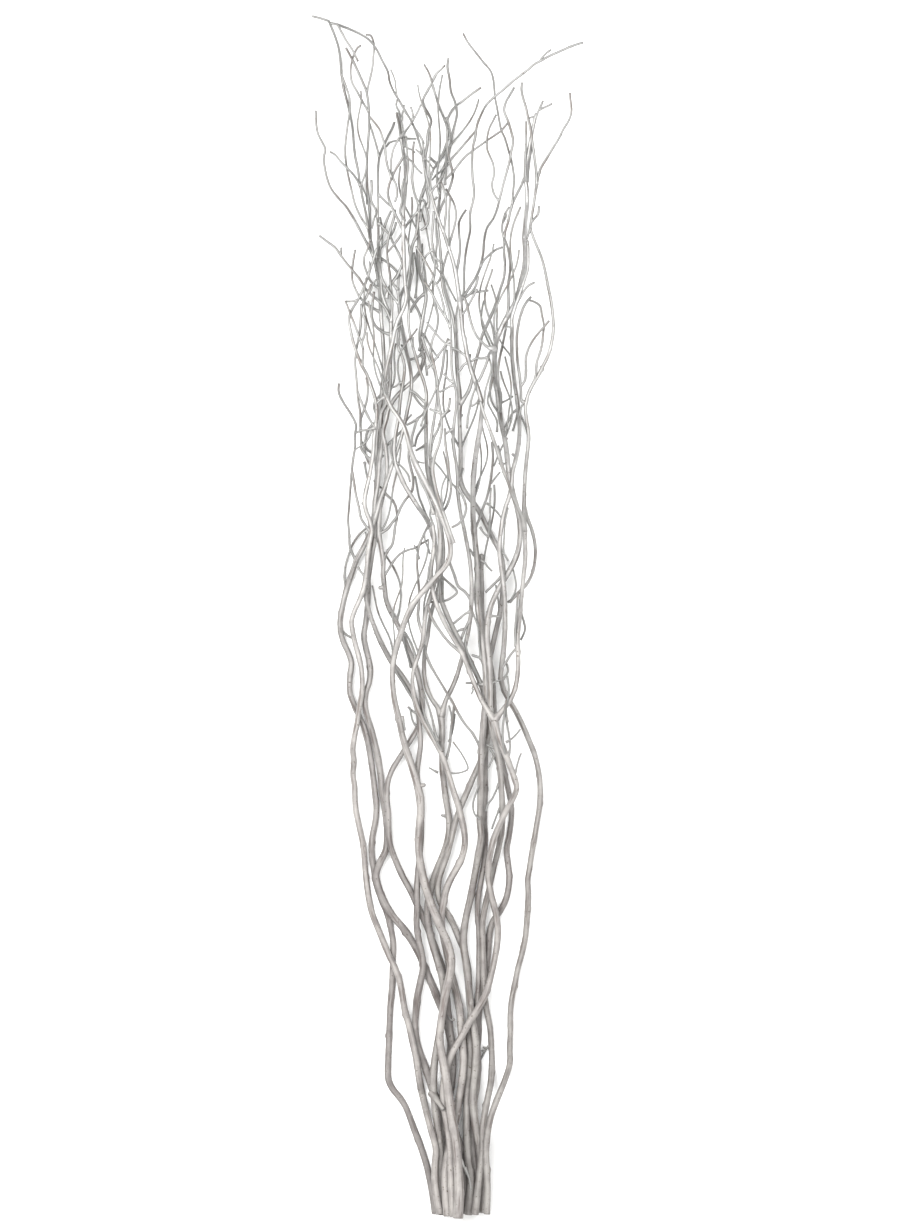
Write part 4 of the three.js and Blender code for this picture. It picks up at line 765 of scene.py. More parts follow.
def hermite(knots, values, places):
    """Values at places along a smooth curve that goes through values at the knots."""
    before, after = np.r_[0, np.arange(len(knots) - 1)], np.r_[np.arange(1, len(knots)), -1]
    slope = (values[after] - values[before]) / (knots[after] - knots[before])[:, None]
    i = np.clip(np.searchsorted(knots, places, side="right") - 1, 0, len(knots) - 2)
    h = (knots[i + 1] - knots[i])[:, None]
    t = (places[:, None] - knots[i][:, None]) / h
    return ((2 * t ** 3 - 3 * t ** 2 + 1) * values[i] + (t ** 3 - 2 * t ** 2 + t) * h * slope[i]
            + (3 * t ** 2 - 2 * t ** 3) * values[i + 1] + (t ** 3 - t ** 2) * h * slope[i + 1])


def centre_line(tube, step):
    """Distances along a tube, its fine centre line and its plain radius there, in millimetres."""
    plan = np.array([(p.x, p.y) for p in tube["all"]])
    radii = np.array([p.r for p in tube["all"]])
    radii[0] = tube["root_radius"]
    along = np.r_[0, np.cumsum(np.linalg.norm(np.diff(plan, axis=0), axis=1))]
    kept = [i for i, p in enumerate(tube["all"]) if any(p is q for q in tube["path"])]
    heights = np.interp(along, along[kept], [tube["all"][i].z for i in kept])
    knots = np.column_stack([plan - middle[:2], heights])
    places = np.linspace(0, along[-1], max(LEAST_RINGS, round(along[-1] / step) + 1))
    return places, hermite(along, knots, places), np.interp(places, along, radii)


places, line, _ = centre_line(bunch[0][0], STEM_RING_STEP)
print("rings on the first stem:", len(places), "length in mm:", round(places[-1]))

# %% [markdown]
# ## The finest twigs
# The solids carry the stems and their main twigs. Curly willow has many finer ones, each with a
# curl of its own. Those that can be followed are given by their places, with their thickness at the
# root and at the tip. What is between them can't be followed, so a rule with a fixed seed grows it.
# No heights can be read from above. Each fine twig starts at the wood it touches and is threaded
# through the pile: of all heights that are free along its way, it takes the smoothest row. Free is
# judged at the thickness given here, not close to the root, and before the heights are rounded off.
# Thin wood is also drawn thicker than that. So where two stems cross, their drawn bark can still
# overlap a little.

# %% Fine twigs by their places
FINE_TWIGS = """
    3.2 2.6 | 427,208 429,200 427,191 427,182
    2.4 1.8 | 437,270 436,258 437,247 436,235 436,222
    2.6 2.0 | 456,332 456,320 457,309 459,299
    1.8 1.4 | 380,262 380,250 382,240 382,228 380,216
    2.2 1.6 | 407,288 409,275 410,262 410,250 407,240 404,232
    2.2 1.8 | 405,222 400,213 402,203 402,190 404,180
    3.4 2.4 | 386,298 388,290 392,282 397,274 402,266
    1.4 1.0 | 415,297 416,288 417,275 416,262 414,251
    1.5 1.1 | 420,222 422,212 425,203
    1.5 1.2 | 367,203 366,195 363,188 361,182
    1.5 1.2 | 377,210 374,219 372,228
    1.2 1.0 | 367,293 370,291 373,284 376,279
    2.0 1.5 | 381,394 376,399 373.5,405 375,411 378,419
    1.4 1.1 | 403,382 400,383 396,386 391,388
    2.4 1.7 | 419,350 423,338 427,326 431,312 434,300
    1.3 1.0 | 421,332 424,334 428,341 433,350 438,357
    2.0 1.5 | 438,388 436,392 432,401 428,409 424,419 421,428
    1.8 1.4 | 476,382 475,390 472,399 470,408 468,418 467,430
    1.2 1.0 | 470,408 474,407 478,403
    2.0 1.5 | 497,432 497,421 492,411 488,403 488,397 491,387 493,377
    1.5 1.1 | 483,408 484,404 485,393 488,382 491,371 489,361
    1.2 0.9 | 500,403 507,400 513,396
    1.7 1.3 | 518,408 512,413 509,420 505,426 503,429
    1.8 1.4 | 519,408 516,419 513,430
    2.0 1.6 | 519,412 524,421 527,430 529,440
    1.8 1.4 | 525,400 521,408 519,416
    1.4 1.1 | 512,331 507,329 505,332
    1.2 0.9 | 441,273 443,275 448,285 452,293 456,301
    1.8 1.3 | 505,213 506,217 503,223
    2.2 1.6 | 531,228 529,233 527,239
    1.7 1.3 | 437,196 435,199
    2.0 1.4 | 379,157 377,147 374,137 371,127 369,121
    1.2 0.9 | 397,99 396,90 395,82 391,72
    2.6 2.0 | 405,145 403,133 401,121 399,111 396,104 397,98
    1.3 1.0 | 401,119 403,109 404,103
    1.4 1.0 | 401,138 394,139 389,141 386,145
    1.2 0.9 | 404,137 410,137 416,137
    2.4 1.8 | 406,184 408,165 407,150 406,137
    1.4 1.1 | 406,148 412,150 415,153
    1.2 0.9 | 406,157 412,162 417,169 422,174
    1.4 1.1 | 422,158 416,153
    1.8 1.4 | 424,165 424,155 423,146
    1.4 1.1 | 424,161 429,166 433,172
    2.0 1.6 | 449,141 450,134 449,126 446,119
    2.0 1.5 | 445,184 446,170 446,160 446,150
    1.8 1.4 | 445,165 441,170 436,174 432,179
    1.2 1.0 | 436,175 439,179 442,183
    1.6 1.2 | 452,174 448,178 445,181
    1.5 1.2 | 535,118 532,117 529,119
    2.6 2.0 | 526,182 525,165 526,145 526,122
    2.8 2.0 | 527,182 529,165 531,150 532,140
    1.2 0.9 | 372,430 369,438 364,444 358,448 355,450
    1.8 1.3 | 364,461 365,468 367,478
    2.8 2.2 | 366,503 362,503.5
    1.4 1.1 | 383,455 379,459 376,463 378,468
    1.2 1.0 | 374,480 378,485 382,488
    1.8 1.4 | 394,464 392,456 391,449 392,441
    1.2 0.9 | 396,462 403,468 408,475 410,482
    3.2 2.6 | 434,515 431,505 427,494 422,483 417,472 412,460
    1.9 1.4 | 429,521 427,517 423,507 419,497 417,487 415,476
    1.4 1.1 | 415,461 419,463 424,464
    1.7 1.2 | 457,490 452,484 446,477 441,470 435,463 430,456
    1.7 1.3 | 443,512 442,502 441.5,492 443,485 446,478
    1.6 1.3 | 434,527 432,521 430,515 431,508
    1.2 0.9 | 429,526 425,533 425,540 428,548 430,554
    1.6 1.2 | 419,559 417,551 414,545
    2.8 2.2 | 459,482 457,468 454,455 452,440
    1.5 1.1 | 480,527 484,533 488,537
    1.5 1.1 | 488,538 490,520 490,503 491,488
    1.7 1.2 | 507,438 502,447 498,456 494,466
    1.7 1.3 | 503,474 502,466 500,456 498,447
    1.2 1.0 | 504,463 502,466 499,463
    1.2 0.9 | 491,483 496,477 500,472
    1.4 1.2 | 512,454 516,458
    1.1 0.9 | 487,503 493,508 498,513 502,519
    1.7 1.3 | 503,554 504,538 505,522 508,508
    1.4 1.1 | 502,552 506,557 508,561
    1.6 1.3 | 474,556 470,549
    2.4 2.0 | 402,634 406,624 411,614 416,604 423,593 431,582
    1.9 1.5 | 421,592 427,582 429,570 431,560
    2.0 1.6 | 424,620 424,606 426,595 430,586
    2.0 1.6 | 437,608 438,600 438.5,590 440,580
    1.8 1.4 | 443,603 443,592 443,579
    1.8 1.5 | 411,668 408,657 405,647 403,636
    2.6 2.0 | 416,662 414,651 410,641 405,632
    3.4 2.6 | 384,587 379,588
    2.2 1.8 | 391,611 394.5,616
    1.9 1.4 | 464,629 458,631 455,636 456,643
    1.6 1.2 | 480,560 484,562 488,567 492,571
    1.6 1.2 | 498,622 499,611 498,598 496,585
    1.7 1.3 | 508,602 510,601 515,592 516,584 514,573 511,563
    2.4 2.0 | 516,647 515,632 516,618 517,604 518,592
    2.2 1.8 | 481,660 479,642 478,627 474,616 470,606
    2.0 1.6 | 481,684 476,672 471,662 467,651 465,640
    1.5 1.1 | 476,686 472,687 473,690 471,694
    1.7 1.3 | 489,685 494,682 500,680
    1.9 1.5 | 507,722 506,708 508,697 508.5,686 507,676
    1.6 1.2 | 417,727 413,722 411,714 410,708
    2.4 2.0 | 402,716 403.5,723 405,730
    1.4 1.0 | 438,773 434,771 429,768
    2.0 1.8 | 447,817 444,816.5 441,816
    3.0 2.4 | 420,786 425,785
    2.6 2.0 | 442,752 437,742 431,730 426,719 423,708 421,698
    2.4 2.0 | 438,741 435,732 432,718 428,704 423,691
    1.6 1.3 | 449,742 452,734 454,724 455,714
    1.8 1.4 | 452,722 451,713 449,706
    0.9 0.8 | 448,773 456,773.5 463,772 468,769 466,762 461,753 453,742
    1.9 1.6 | 481,780 478,788 475,796 473,804 473.5,811 476,816 480,819
    1.8 1.6 | 499,783 496,791 492,799 488,804 486,811
    2.8 2.4 | 500,751 494,748 487,745
    3.0 2.6 | 500,772 497,763 494,755 489,747
    1.0 0.8 | 494,756 491,762 488,768
    2.0 1.6 | 492,708 492.5,714 494,718
    2.2 1.8 | 506,756 503,744 502.5,730 504,716 506,700
    1.9 1.6 | 508,756 510,747 509,736 507,724 506,712
    1.1 0.9 | 506,742 512,738 517,733 520,729
    1.3 1.0 | 515,773 517,765 519,758 521,753
    2.0 1.8 | 500,808 497,815 494,823 492,829
    1.6 1.2 | 490,1046 487,1050 484,1055 481,1061
    1.3 1.0 | 487,1050 483,1049
    1.3 1.0 | 485,1054 482,1052
    1.6 1.3 | 455,1020 451,1021 448,1017
    5.2 4.6 | 431,1093 437,1100 443,1108
    1.8 1.4 | 461,1158 465,1168 470,1179
    1.6 1.2 | 465,1166 469,1176 471,1188
"""

# %% Wood as straight lengths
STEP_ALONG = 2.5  # distance between the places of a fine twig, in millimetres
LEAST_PLACES = 3
CLEAR_AIR = 0.2  # least air between a fine twig and other wood
TOUCHING = 0.8  # a root that is no further than this from the bark of a stem sits on that stem


def all_lengths(tubes_of_stems):
    """Start, run and thickness of every straight length of wood, and the stem that it is in."""
    rows = [(a.x, a.y, a.z, b.x, b.y, b.z, max(a.r, b.r), number)
            for number, tubes in enumerate(tubes_of_stems) for tube in tubes
            for a, b in zip(tube["path"], tube["path"][1:])]
    table = np.array(rows)
    return table[:, 0:3], table[:, 3:6] - table[:, 0:3], table[:, 6], table[:, 7].astype(int)


def seen_from_above(plan, lengths):
    """For each place and each length: how far apart they are in plan, and where along it."""
    start, run = lengths[0], lengths[1]
    offset = plan[:, None, :] - start[None, :, :2]
    square = np.maximum((run[:, :2] ** 2).sum(1), 1e-6)  # a length may stand upright
    t = np.clip((offset * run[:, :2]).sum(2) / square, 0, 1)
    return np.linalg.norm(offset - t[:, :, None] * run[:, :2], axis=2), t


def wood_under(place, lengths):
    """The stem, height and radius of the wood at a place: the topmost there, or the nearest."""
    apart, t = seen_from_above(np.array([place]), lengths)
    gap = apart[0] - lengths[2]
    height = lengths[0][:, 2] + t[0] * lengths[1][:, 2]
    touching = gap < TOUCHING
    best = int(np.argmax(np.where(touching, height, -1))) if touching.any() else int(gap.argmin())
    return int(lengths[3][best]), float(height[best]), float(lengths[2][best])


# %% Threading a twig through the pile
LEVEL_STEP = 0.8  # distance between the heights that are tried
LOWEST_AIR = 0.3  # least air between a fine twig and the table
STEEPEST = 3  # levels that a twig may climb in one step
CLIMB_COST, DRIFT_COST, HIT_COST, NEVER = 0.15, 0.02, 50.0, 1e6
LIFT = 0.12  # fine twigs point a little upwards, away from the pile
ROOT_ROOM = 1.5  # up to this far outside its parent's bark a twig's way counts as free
ROUNDING_PASSES = 2


def heights_taken(plan, radius, levels, lengths):
    """Which of the levels are inside other wood, at each place of a twig."""
    apart, t = seen_from_above(plan, lengths)
    reach = lengths[2] + radius + CLEAR_AIR
    near = apart < reach
    place, which = np.nonzero(near)
    centre = lengths[0][which, 2] + t[near] * lengths[1][which, 2]
    half = np.sqrt(reach[which] ** 2 - apart[near] ** 2)
    taken = np.zeros((len(plan), len(levels)), dtype=bool)
    np.logical_or.at(taken, place, np.abs(levels[None, :] - centre[:, None]) < half[:, None])
    return taken


def thread(plan, root_height, root_radius, radius, lengths):
    """Heights along a twig, and whether its way is free at its own thickness."""
    levels = np.arange(radius + LOWEST_AIR, highest[2] - radius, LEVEL_STEP)
    along = STEP_ALONG * np.arange(len(plan))
    taken = heights_taken(plan, radius, levels, lengths)
    taken[along < root_radius + radius + ROOT_ROOM] = False
    wish = root_height + LIFT * along
    stay = DRIFT_COST * np.abs(levels[None, :] - wish[:, None]) + HIT_COST * taken
    cost = np.where(np.abs(levels - root_height) <= LEVEL_STEP, 0.0, NEVER)
    choices, moves = [], range(-STEEPEST, STEEPEST + 1)
    for row in stay[1:]:
        padded = np.pad(cost, STEEPEST, constant_values=NEVER)
        options = np.stack([padded[STEEPEST + k:STEEPEST + k + len(levels)] + CLIMB_COST * k * k
                            for k in moves])
        choices.append(options.argmin(0) - STEEPEST)
        cost = options.min(0) + row
    picked = [int(cost.argmin())]
    for choice in reversed(choices):
        picked.append(picked[-1] + int(choice[picked[-1]]))
    picked = np.array(picked[::-1])
    heights = levels[picked]
    heights[0] = root_height
    for _ in range(ROUNDING_PASSES):
        heights[1:-1] = (heights[:-2] + 2 * heights[1:-1] + heights[2:]) / 4
    return heights, not taken[np.arange(len(plan)), picked].any()


def add_twig(number, plan, heights, root_radius, radii, lengths):
    """Puts a fine twig on a stem, and adds it to the lengths of wood."""
    places = [Point(x, y, r) for (x, y), r in zip(plan, radii)]
    for place, height in zip(places, heights):
        place.z = float(height)
    places[0].r = root_radius
    new = {"path": places, "all": places, "root_radius": float(radii[0]), "fine": True}
    bunch[number].append(new)
    start, run, thickness, _ = all_lengths([[new]])
    owner = np.full(len(start), number)
    return tuple(np.concatenate(pair) for pair in zip(lengths, (start, run, thickness, owner)))


# %% Adding those that could be followed
lengths = all_lengths(bunch)
rows = FINE_TWIGS.strip().splitlines()
ways_free = 0
for row in rows:
    girths, places = row.split("|")
    root_girth, tip_girth = (float(g) for g in girths.split())
    corners = np.array([(p.x, p.y) for p in points(places.strip())])
    along = np.r_[0, np.cumsum(np.linalg.norm(np.diff(corners, axis=0), axis=1))]
    count = max(LEAST_PLACES, round(along[-1] / STEP_ALONG) + 1)
    plan = hermite(along, corners, np.linspace(0, along[-1], count))
    number, height, radius = wood_under(plan[0], lengths)
    radii = np.linspace(root_girth, tip_girth, count) / 2
    heights, free = thread(plan, height, radius, radii[0], lengths)
    lengths = add_twig(number, plan, heights, radius, radii, lengths)
    ways_free += free
print("fine twigs by their places:", len(rows), "with a free way:", ways_free)

# %% Growing the rest
GROWN_TWIGS, GROWN_REACH, GROWN_RADIUS = 55, (45.0, 120.0), (0.7, 0.95)
SPURS, SPUR_REACH, SPUR_RADIUS = 30, (4.0, 9.0), (0.5, 0.7)  # dead side shoots
# How likely a twig is, by the distance from the cut ends and by that from the bunch's middle.
# These numbers were fitted: they cover the crown about as much as in the photograph.
GROWTH_BY_HEIGHT = ((0, 0.0), (450, 0.0), (600, 0.3), (700, 0.8), (800, 1.0), (900, 0.9),
                    (960, 0.3), (1020, 0.05), (1160, 0.0))
GROWTH_ACROSS = ((-110, 0.4), (-75, 0.5), (-50, 1.0), (15, 1.0), (45, 0.4), (110, 0.2))
ROOM_BESIDE = 1.2  # wood seen nearer than this beside a twig crowds it
CROWDED, NO_LIMIT = 0.66, 1.0  # a twig crowded along more than this share of its way is left out
SAME_LEVEL = 10.0  # wood this far up or down a stem counts as beside a place
TRIES_EACH = 12
SLANT_SHARE, MOST_SLANT = 0.7, 0.5  # a twig starts along its stem, and never far off its run
FORK_TURN, FORK_LENGTH = (0.25, 0.6), (12, 40)  # then bends away by this, within this length
WAVE_TURN, WAVE_LENGTH = (0.12, 0.34), (60, 130)
PARENT_SHARE, TIP_SHARE = 0.75, 0.6  # root radius by the parent's, tip radius by the root's
GROWTH_SEED = 7
ANY_PHASE = (0, 6.28)  # about a full turn


def wander_off(x, y, heading, reach, rng):
    """The places in plan of a grown twig: it bends away, then waves on towards the tips."""
    along = np.arange(0, reach + STEP_ALONG, STEP_ALONG)
    side = rng.choice((-1, 1)) * rng.uniform(*FORK_TURN)
    wave = rng.uniform(*WAVE_TURN) * np.sin(2 * math.pi * along / rng.uniform(*WAVE_LENGTH)
                                            + rng.uniform(*ANY_PHASE))
    turned = heading + side * np.exp(-along / rng.uniform(*FORK_LENGTH)) + wave
    steps = STEP_ALONG * np.column_stack([np.sin(turned), np.cos(turned)])
    return np.array([x, y]) + np.vstack([[0, 0], np.cumsum(steps, axis=0)[:-1]])


def between_others(plan, lengths):
    """Whether a twig has wood on its left and on its right all the way, so it doesn't stick out."""
    x, y = lengths[0][None, :, 0], lengths[0][None, :, 1]
    level = abs(y - plan[:, None, 1]) < SAME_LEVEL
    left = np.where(level, x, np.inf).min(1)
    right = np.where(level, x, -np.inf).max(1)
    return bool(((plan[:, 0] > left) & (plan[:, 0] < right)).all())


def grow_all(count, reaches, thickness, crowding, rng, lengths):
    """Adds grown twigs where there is room. Returns how many, and the new lengths of wood."""
    spots = [(number, a, b) for number, tubes in enumerate(bunch)
             for a, b in zip(tubes[0]["path"][1:], tubes[0]["path"][2:])]
    chance = np.array([np.interp(a.y, *np.array(GROWTH_BY_HEIGHT).T)
                       * np.interp(a.x - middle[0], *np.array(GROWTH_ACROSS).T)
                       for _, a, _ in spots])
    found = 0
    for pick in rng.choice(len(spots), size=TRIES_EACH * count, p=chance / chance.sum()):
        number, a, b = spots[pick]
        slant = SLANT_SHARE * math.atan2(b.x - a.x, b.y - a.y)
        heading = float(np.clip(slant, -MOST_SLANT, MOST_SLANT))
        plan = wander_off(a.x, a.y, heading, rng.uniform(*reaches), rng)
        radius = min(rng.uniform(*thickness), PARENT_SHARE * a.r)
        apart, _ = seen_from_above(plan, lengths)
        crowded = (apart < lengths[2] + radius + ROOM_BESIDE).any(1).mean()
        if crowded > crowding or not between_others(plan, lengths):
            continue
        heights, free = thread(plan, a.z, a.r, radius, lengths)
        if free:
            radii = np.linspace(radius, TIP_SHARE * radius, len(plan))
            lengths = add_twig(number, plan, heights, a.r, radii, lengths)
            found += 1
        if found == count:
            break
    return found, lengths


growth = np.random.default_rng(GROWTH_SEED)
grown, lengths = grow_all(GROWN_TWIGS, GROWN_REACH, GROWN_RADIUS, CROWDED, growth, lengths)
spurs, lengths = grow_all(SPURS, SPUR_REACH, SPUR_RADIUS, NO_LIMIT, growth, lengths)
print("grown twigs:", grown, "spurs:", spurs)

# %% [markdown]
# ## Bark
# Willow bark on stems this thin is smooth. Its relief is a bud scar every 3 to 5 cm, on alternating
# sides, a slight swelling under each scar, a collar where a twig grows out, and a section that is
# never quite round. Each is a small change of radius, added up for every ring and every angle.

# %% Relief of the bark
STEM_BUD_STEP = (24.0, 46.0)  # shortest and longest distance between bud scars, in millimetres
TWIG_BUD_STEP = (10.0, 20.0)
THINNEST_FINE, THINNEST_TRACED = 1.0, 1.3  # least radii drawn: thinner wood looks pale and dashed
GOLDEN_ANGLE = math.radians(137.5)  # the turn from one bud to the next round a willow stem
GIRTH_DEPTH, GIRTH_WAVE = 0.035, 85  # slow change of thickness: share of the radius, wave length
SECTION_WAVES = ((2, 0.04, 2, 160), (3, 0.018, 2.5, 120))  # lobes, depth, twist and wave length
SECTION_PHASE = (0, 6)
FROM_TIP = 4  # no bud is nearer to the tip than this
BUD_SIZE = (0.6, 1.25)
SWELLING, SWELLING_LENGTH = 0.06, (2.2, 0.5)  # of a bud; a length is its least and a share of r
SCAR, SCAR_LENGTH, SCAR_ANGLE = 0.24, (1.5, 0.12), 0.62
TURN_SPREAD = 0.35
BEND_WINDOW, TIGHT_BEND = 7, 0.16  # places that a bend is averaged over; r over bend at an elbow


def lump(distance, width):
    """A smooth hill, 1 at its top and close to 0 at twice its width."""
    return np.exp(-(distance / width) ** 2)


def wander(places, rng, longest):
    """A slow irregular wave, about -1 to 1, with no bend shorter than a quarter of longest."""
    total = np.zeros(len(places))
    for share in (1.0, 0.6, 0.37, 0.25):
        total += share * np.sin(2 * math.pi * places / (longest * share) + rng.uniform(*ANY_PHASE))
    return total / 2.2  # about the sum of the shares


def bark_relief(places, radii, angles, rng, bud_step):
    """How far the bark stands out or in, as a share of the radius, at each ring and angle."""
    turn = angles[None, :]
    relief = GIRTH_DEPTH * wander(places, rng, GIRTH_WAVE)[:, None] * np.ones_like(turn)
    for lobes, depth, twist, longest in SECTION_WAVES:
        twisted = lobes * turn + twist * wander(places, rng, longest)[:, None]
        relief += depth * np.cos(twisted + rng.uniform(*SECTION_PHASE))
    bud, side = rng.uniform(*bud_step), rng.uniform(*ANY_PHASE)
    while bud < places[-1] - FROM_TIP:
        r = float(np.interp(bud, places, radii))
        facing = np.abs((turn - side + math.pi) % (2 * math.pi) - math.pi)
        size = rng.uniform(*BUD_SIZE)
        swelling, scar = [lump(places - bud, least + share * r)[:, None]
                          for least, share in (SWELLING_LENGTH, SCAR_LENGTH)]
        relief += SWELLING * size * swelling
        relief += SCAR * size * scar * lump(facing, SCAR_ANGLE)
        bud += rng.uniform(*bud_step)
        side += GOLDEN_ANGLE + rng.normal(0, TURN_SPREAD)
    return relief


def bend_of(line, places, radii):
    """How sharply the line bends for its thickness: 0 on a straight run, 1 at a tight elbow."""
    ahead = np.gradient(line, places, axis=0)
    ahead /= np.linalg.norm(ahead, axis=1, keepdims=True)
    curvature = np.linalg.norm(np.gradient(ahead, places, axis=0), axis=1)
    padded = np.pad(curvature, BEND_WINDOW // 2, mode="edge")
    spread = np.convolve(padded, np.ones(BEND_WINDOW) / BEND_WINDOW, mode="valid")
    return np.clip(spread * radii / TIGHT_BEND, 0, 1)


# %% One tube of bark
PARENT_SWELLING, PARENT_LENGTH = 0.13, (1.2, 2.4)  # where a twig grows out: least, share of its r
FULL_SWELLING = 1.2  # thinner twigs swell their parent less
COLLAR, COLLAR_START, COLLAR_LENGTH = 0.5, 0.8, (0.8, 2.0)  # of the twig, from inside its parent
CHAMFER, CHAMFER_SHARE = 0.35, 0.9  # of a cut butt
TIP_LENGTH, TIP_DOME = 0.55, 0.25  # how far a tip is drawn out, and its last corner beyond that
TIP_RINGS = ((0.0, 1.0), (0.55, 0.86), (1.0, 0.5))  # shares of a tip's length and of its radius


def tube_mesh(tube, is_stem, sides, rng, root_at):
    """Corners, faces and what the finish needs to know at each corner, for one tube."""
    step = STEM_RING_STEP if is_stem else TWIG_RING_STEP
    places, line, radii = centre_line(tube, step)
    angles = 2 * math.pi * np.arange(sides) / sides
    relief = bark_relief(places, radii, angles, rng, STEM_BUD_STEP if is_stem else TWIG_BUD_STEP)
    for where, width in root_at:  # the parent swells where a twig grows out
        reach = PARENT_LENGTH[1] * width + PARENT_LENGTH[0]
        swelling = PARENT_SWELLING * min(1.0, width / FULL_SWELLING)
        relief += swelling * lump(places - where, reach)[:, None]
    if not is_stem:  # the twig's own collar
        beyond = np.maximum(0, places - COLLAR_START * tube["all"][0].r)
        relief += COLLAR * lump(beyond, COLLAR_LENGTH[1] * radii[0] + COLLAR_LENGTH[0])[:, None]
    bend = bend_of(line, places, radii)
    thinnest = THINNEST_FINE if "fine" in tube else THINNEST_TRACED
    reach = np.maximum(radii, thinnest)[:, None] * (1 + relief)
    # the ends: a cut butt has a narrow chamfer, and a tip is closed by two shrinking rings
    butt = [(0.0, CHAMFER_SHARE), (CHAMFER, 1.0)] if is_stem else [(0.0, 1.0)]
    tip = TIP_LENGTH * radii[-1]
    ahead_first = (line[1] - line[0]) / np.linalg.norm(line[1] - line[0])
    ahead_last = (line[-1] - line[-2]) / np.linalg.norm(line[-1] - line[-2])
    head = [(line[0] + ahead_first * push, reach[0] * size, places[0] + push)
            for push, size in butt]
    foot = [(line[-1] + ahead_last * (share * tip), reach[-1] * size, places[-1] + share * tip)
            for share, size in TIP_RINGS]
    centres, reach, places = [
        np.array([end[k] for end in head] + list(values[1:-1]) + [end[k] for end in foot])
        for k, values in enumerate((line, reach, places))]
    bend = np.r_[np.full(len(head), bend[0]), bend[1:-1], np.full(len(foot), bend[-1])]
    corners = rings(centres, reach, angles)
    count = len(centres)
    ring_start = np.arange(count - 1)[:, None] * sides
    a = ring_start + np.arange(sides)[None, :]
    b = ring_start + (np.arange(sides)[None, :] + 1) % sides
    quads = np.stack([a, b, b + sides, a + sides], axis=-1).reshape(-1, 4)
    unrolled = np.stack([np.sin(angles) * reach, np.cos(angles) * reach,
                         np.broadcast_to(places[:, None], reach.shape)], axis=-1)
    return {
        "corners": corners.reshape(-1, 3), "quads": quads, "sides": sides, "count": count,
        "unrolled": unrolled.reshape(-1, 3), "bend": np.repeat(bend, sides),
        "girth": np.repeat(reach.mean(axis=1), sides),
        "ends": (centres[0], centres[-1] + ahead_last * TIP_DOME * tip),
    }


# %% [markdown]
# ## From tubes to one piece for each stem
# All tubes of a stem go into one mesh, as the stem is one piece of wood. Each corner also keeps its
# place on an imagined straightened stem. The finish uses it to run the grain of the bark along
# every bend, which a pattern in plain space can't do.

# %% Building a stem
FLOOR_CLEARANCE = 0.1  # bark is kept this far above the table, in millimetres
BARK_SIDES = ((5, 16), (3, 12), (1.7, 8), (0, 6))  # enough for a diameter that no flat shows


def where_rooted(tube, twigs):
    """Distance along a tube and radius of each twig that grows from it."""
    found, along = [], 0.0
    for i, p in enumerate(tube["all"]):
        if i:
            q = tube["all"][i - 1]
            along += math.hypot(p.x - q.x, p.y - q.y)
        found += [(along, t["root_radius"]) for t in twigs if t is not tube and t["all"][0] is p]
    return found


def build_stem(name, tubes, seed):
    """The mesh object of one stem with all its twigs, and which faces are its cut end."""
    corners, faces, unrolled, bend, girth, cut_faces, start = [], [], [], [], [], [], 0
    for number, tube in enumerate(tubes):
        is_stem = number == 0
        rng = np.random.default_rng(1000 * seed + number)
        part = tube_mesh(tube, is_stem, sides_for(2 * tube["root_radius"], BARK_SIDES), rng,
                         where_rooted(tube, tubes[1:]))
        sides, last = part["sides"], (part["count"] - 1) * part["sides"]
        total = len(part["corners"])
        faces += (part["quads"] + start).tolist()
        first_centre, last_centre = start + total, start + total + 1
        for k in range(sides):
            k_next = (k + 1) % sides
            if is_stem:
                cut_faces.append(len(faces))
            faces.append((start + k_next, start + k, first_centre))
            faces.append((start + last + k, start + last + k_next, last_centre))
        corners += [part["corners"], np.array(part["ends"])]
        unrolled += [part["unrolled"], np.zeros((2, 3))]
        bend += [part["bend"], np.zeros(2)]
        girth += [part["girth"], part["girth"][[0, -1]]]
        start += total + 2
    corners = np.concatenate(corners)
    corners[:, 2] = np.maximum(corners[:, 2], FLOOR_CLEARANCE)
    mesh = bpy.data.meshes.new(name)
    mesh.from_pydata((corners * MM).tolist(), [], faces)
    smooth = np.ones(len(faces), dtype=bool)
    smooth[cut_faces] = False
    mesh.polygons.foreach_set("use_smooth", smooth)
    for label, kind, key, values in (("straightened", "FLOAT_VECTOR", "vector", unrolled),
                                     ("bend", "FLOAT", "value", bend),
                                     ("girth", "FLOAT", "value", girth)):
        attribute = mesh.attributes.new(label, kind, "POINT")
        attribute.data.foreach_set(key, np.concatenate(values).astype(np.float32).ravel())
    mesh.update()
    piece = bpy.data.objects.new(name, mesh)
    scene.collection.objects.link(piece)
    return piece, cut_faces


stems = []
for order, (plan, tubes) in enumerate(zip(BUNCH, bunch)):
    piece, cut_faces = build_stem("bark_" + plan["name"], tubes, order + 1)
    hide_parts("stem_" + plan["name"])
    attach(piece, "root")
    stems.append((piece, cut_faces))
print("faces in all:", sum(len(piece.data.polygons) for piece, _ in stems))

# %% [markdown]
# ## The finish
# The wood is dried willow with its bark on, sprayed with a silver paint. Such paint is fine flakes
# of aluminium in a clear binder. It gives a soft broad shine, brighter than grey paint and duller
# than metal, so the shader is partly metallic. Near the cut ends the bark is old and rough and the
# paint dull on it. Towards the tips the bark is young and smooth, and the paint brighter. A layered
# shader with a coat would look wet, which dried spray paint doesn't.

# %% Colours and nodes
def srgb(code):
    """The linear colour of an sRGB hex code, as Blender's sockets want it."""
    channels = [int(code[i:i + 2], 16) / 255 for i in (1, 3, 5)]
    linear = [c / 12.92 if c <= 0.04045 else ((c + 0.055) / 1.055) ** 2.4 for c in channels]
    return (*linear, 1)


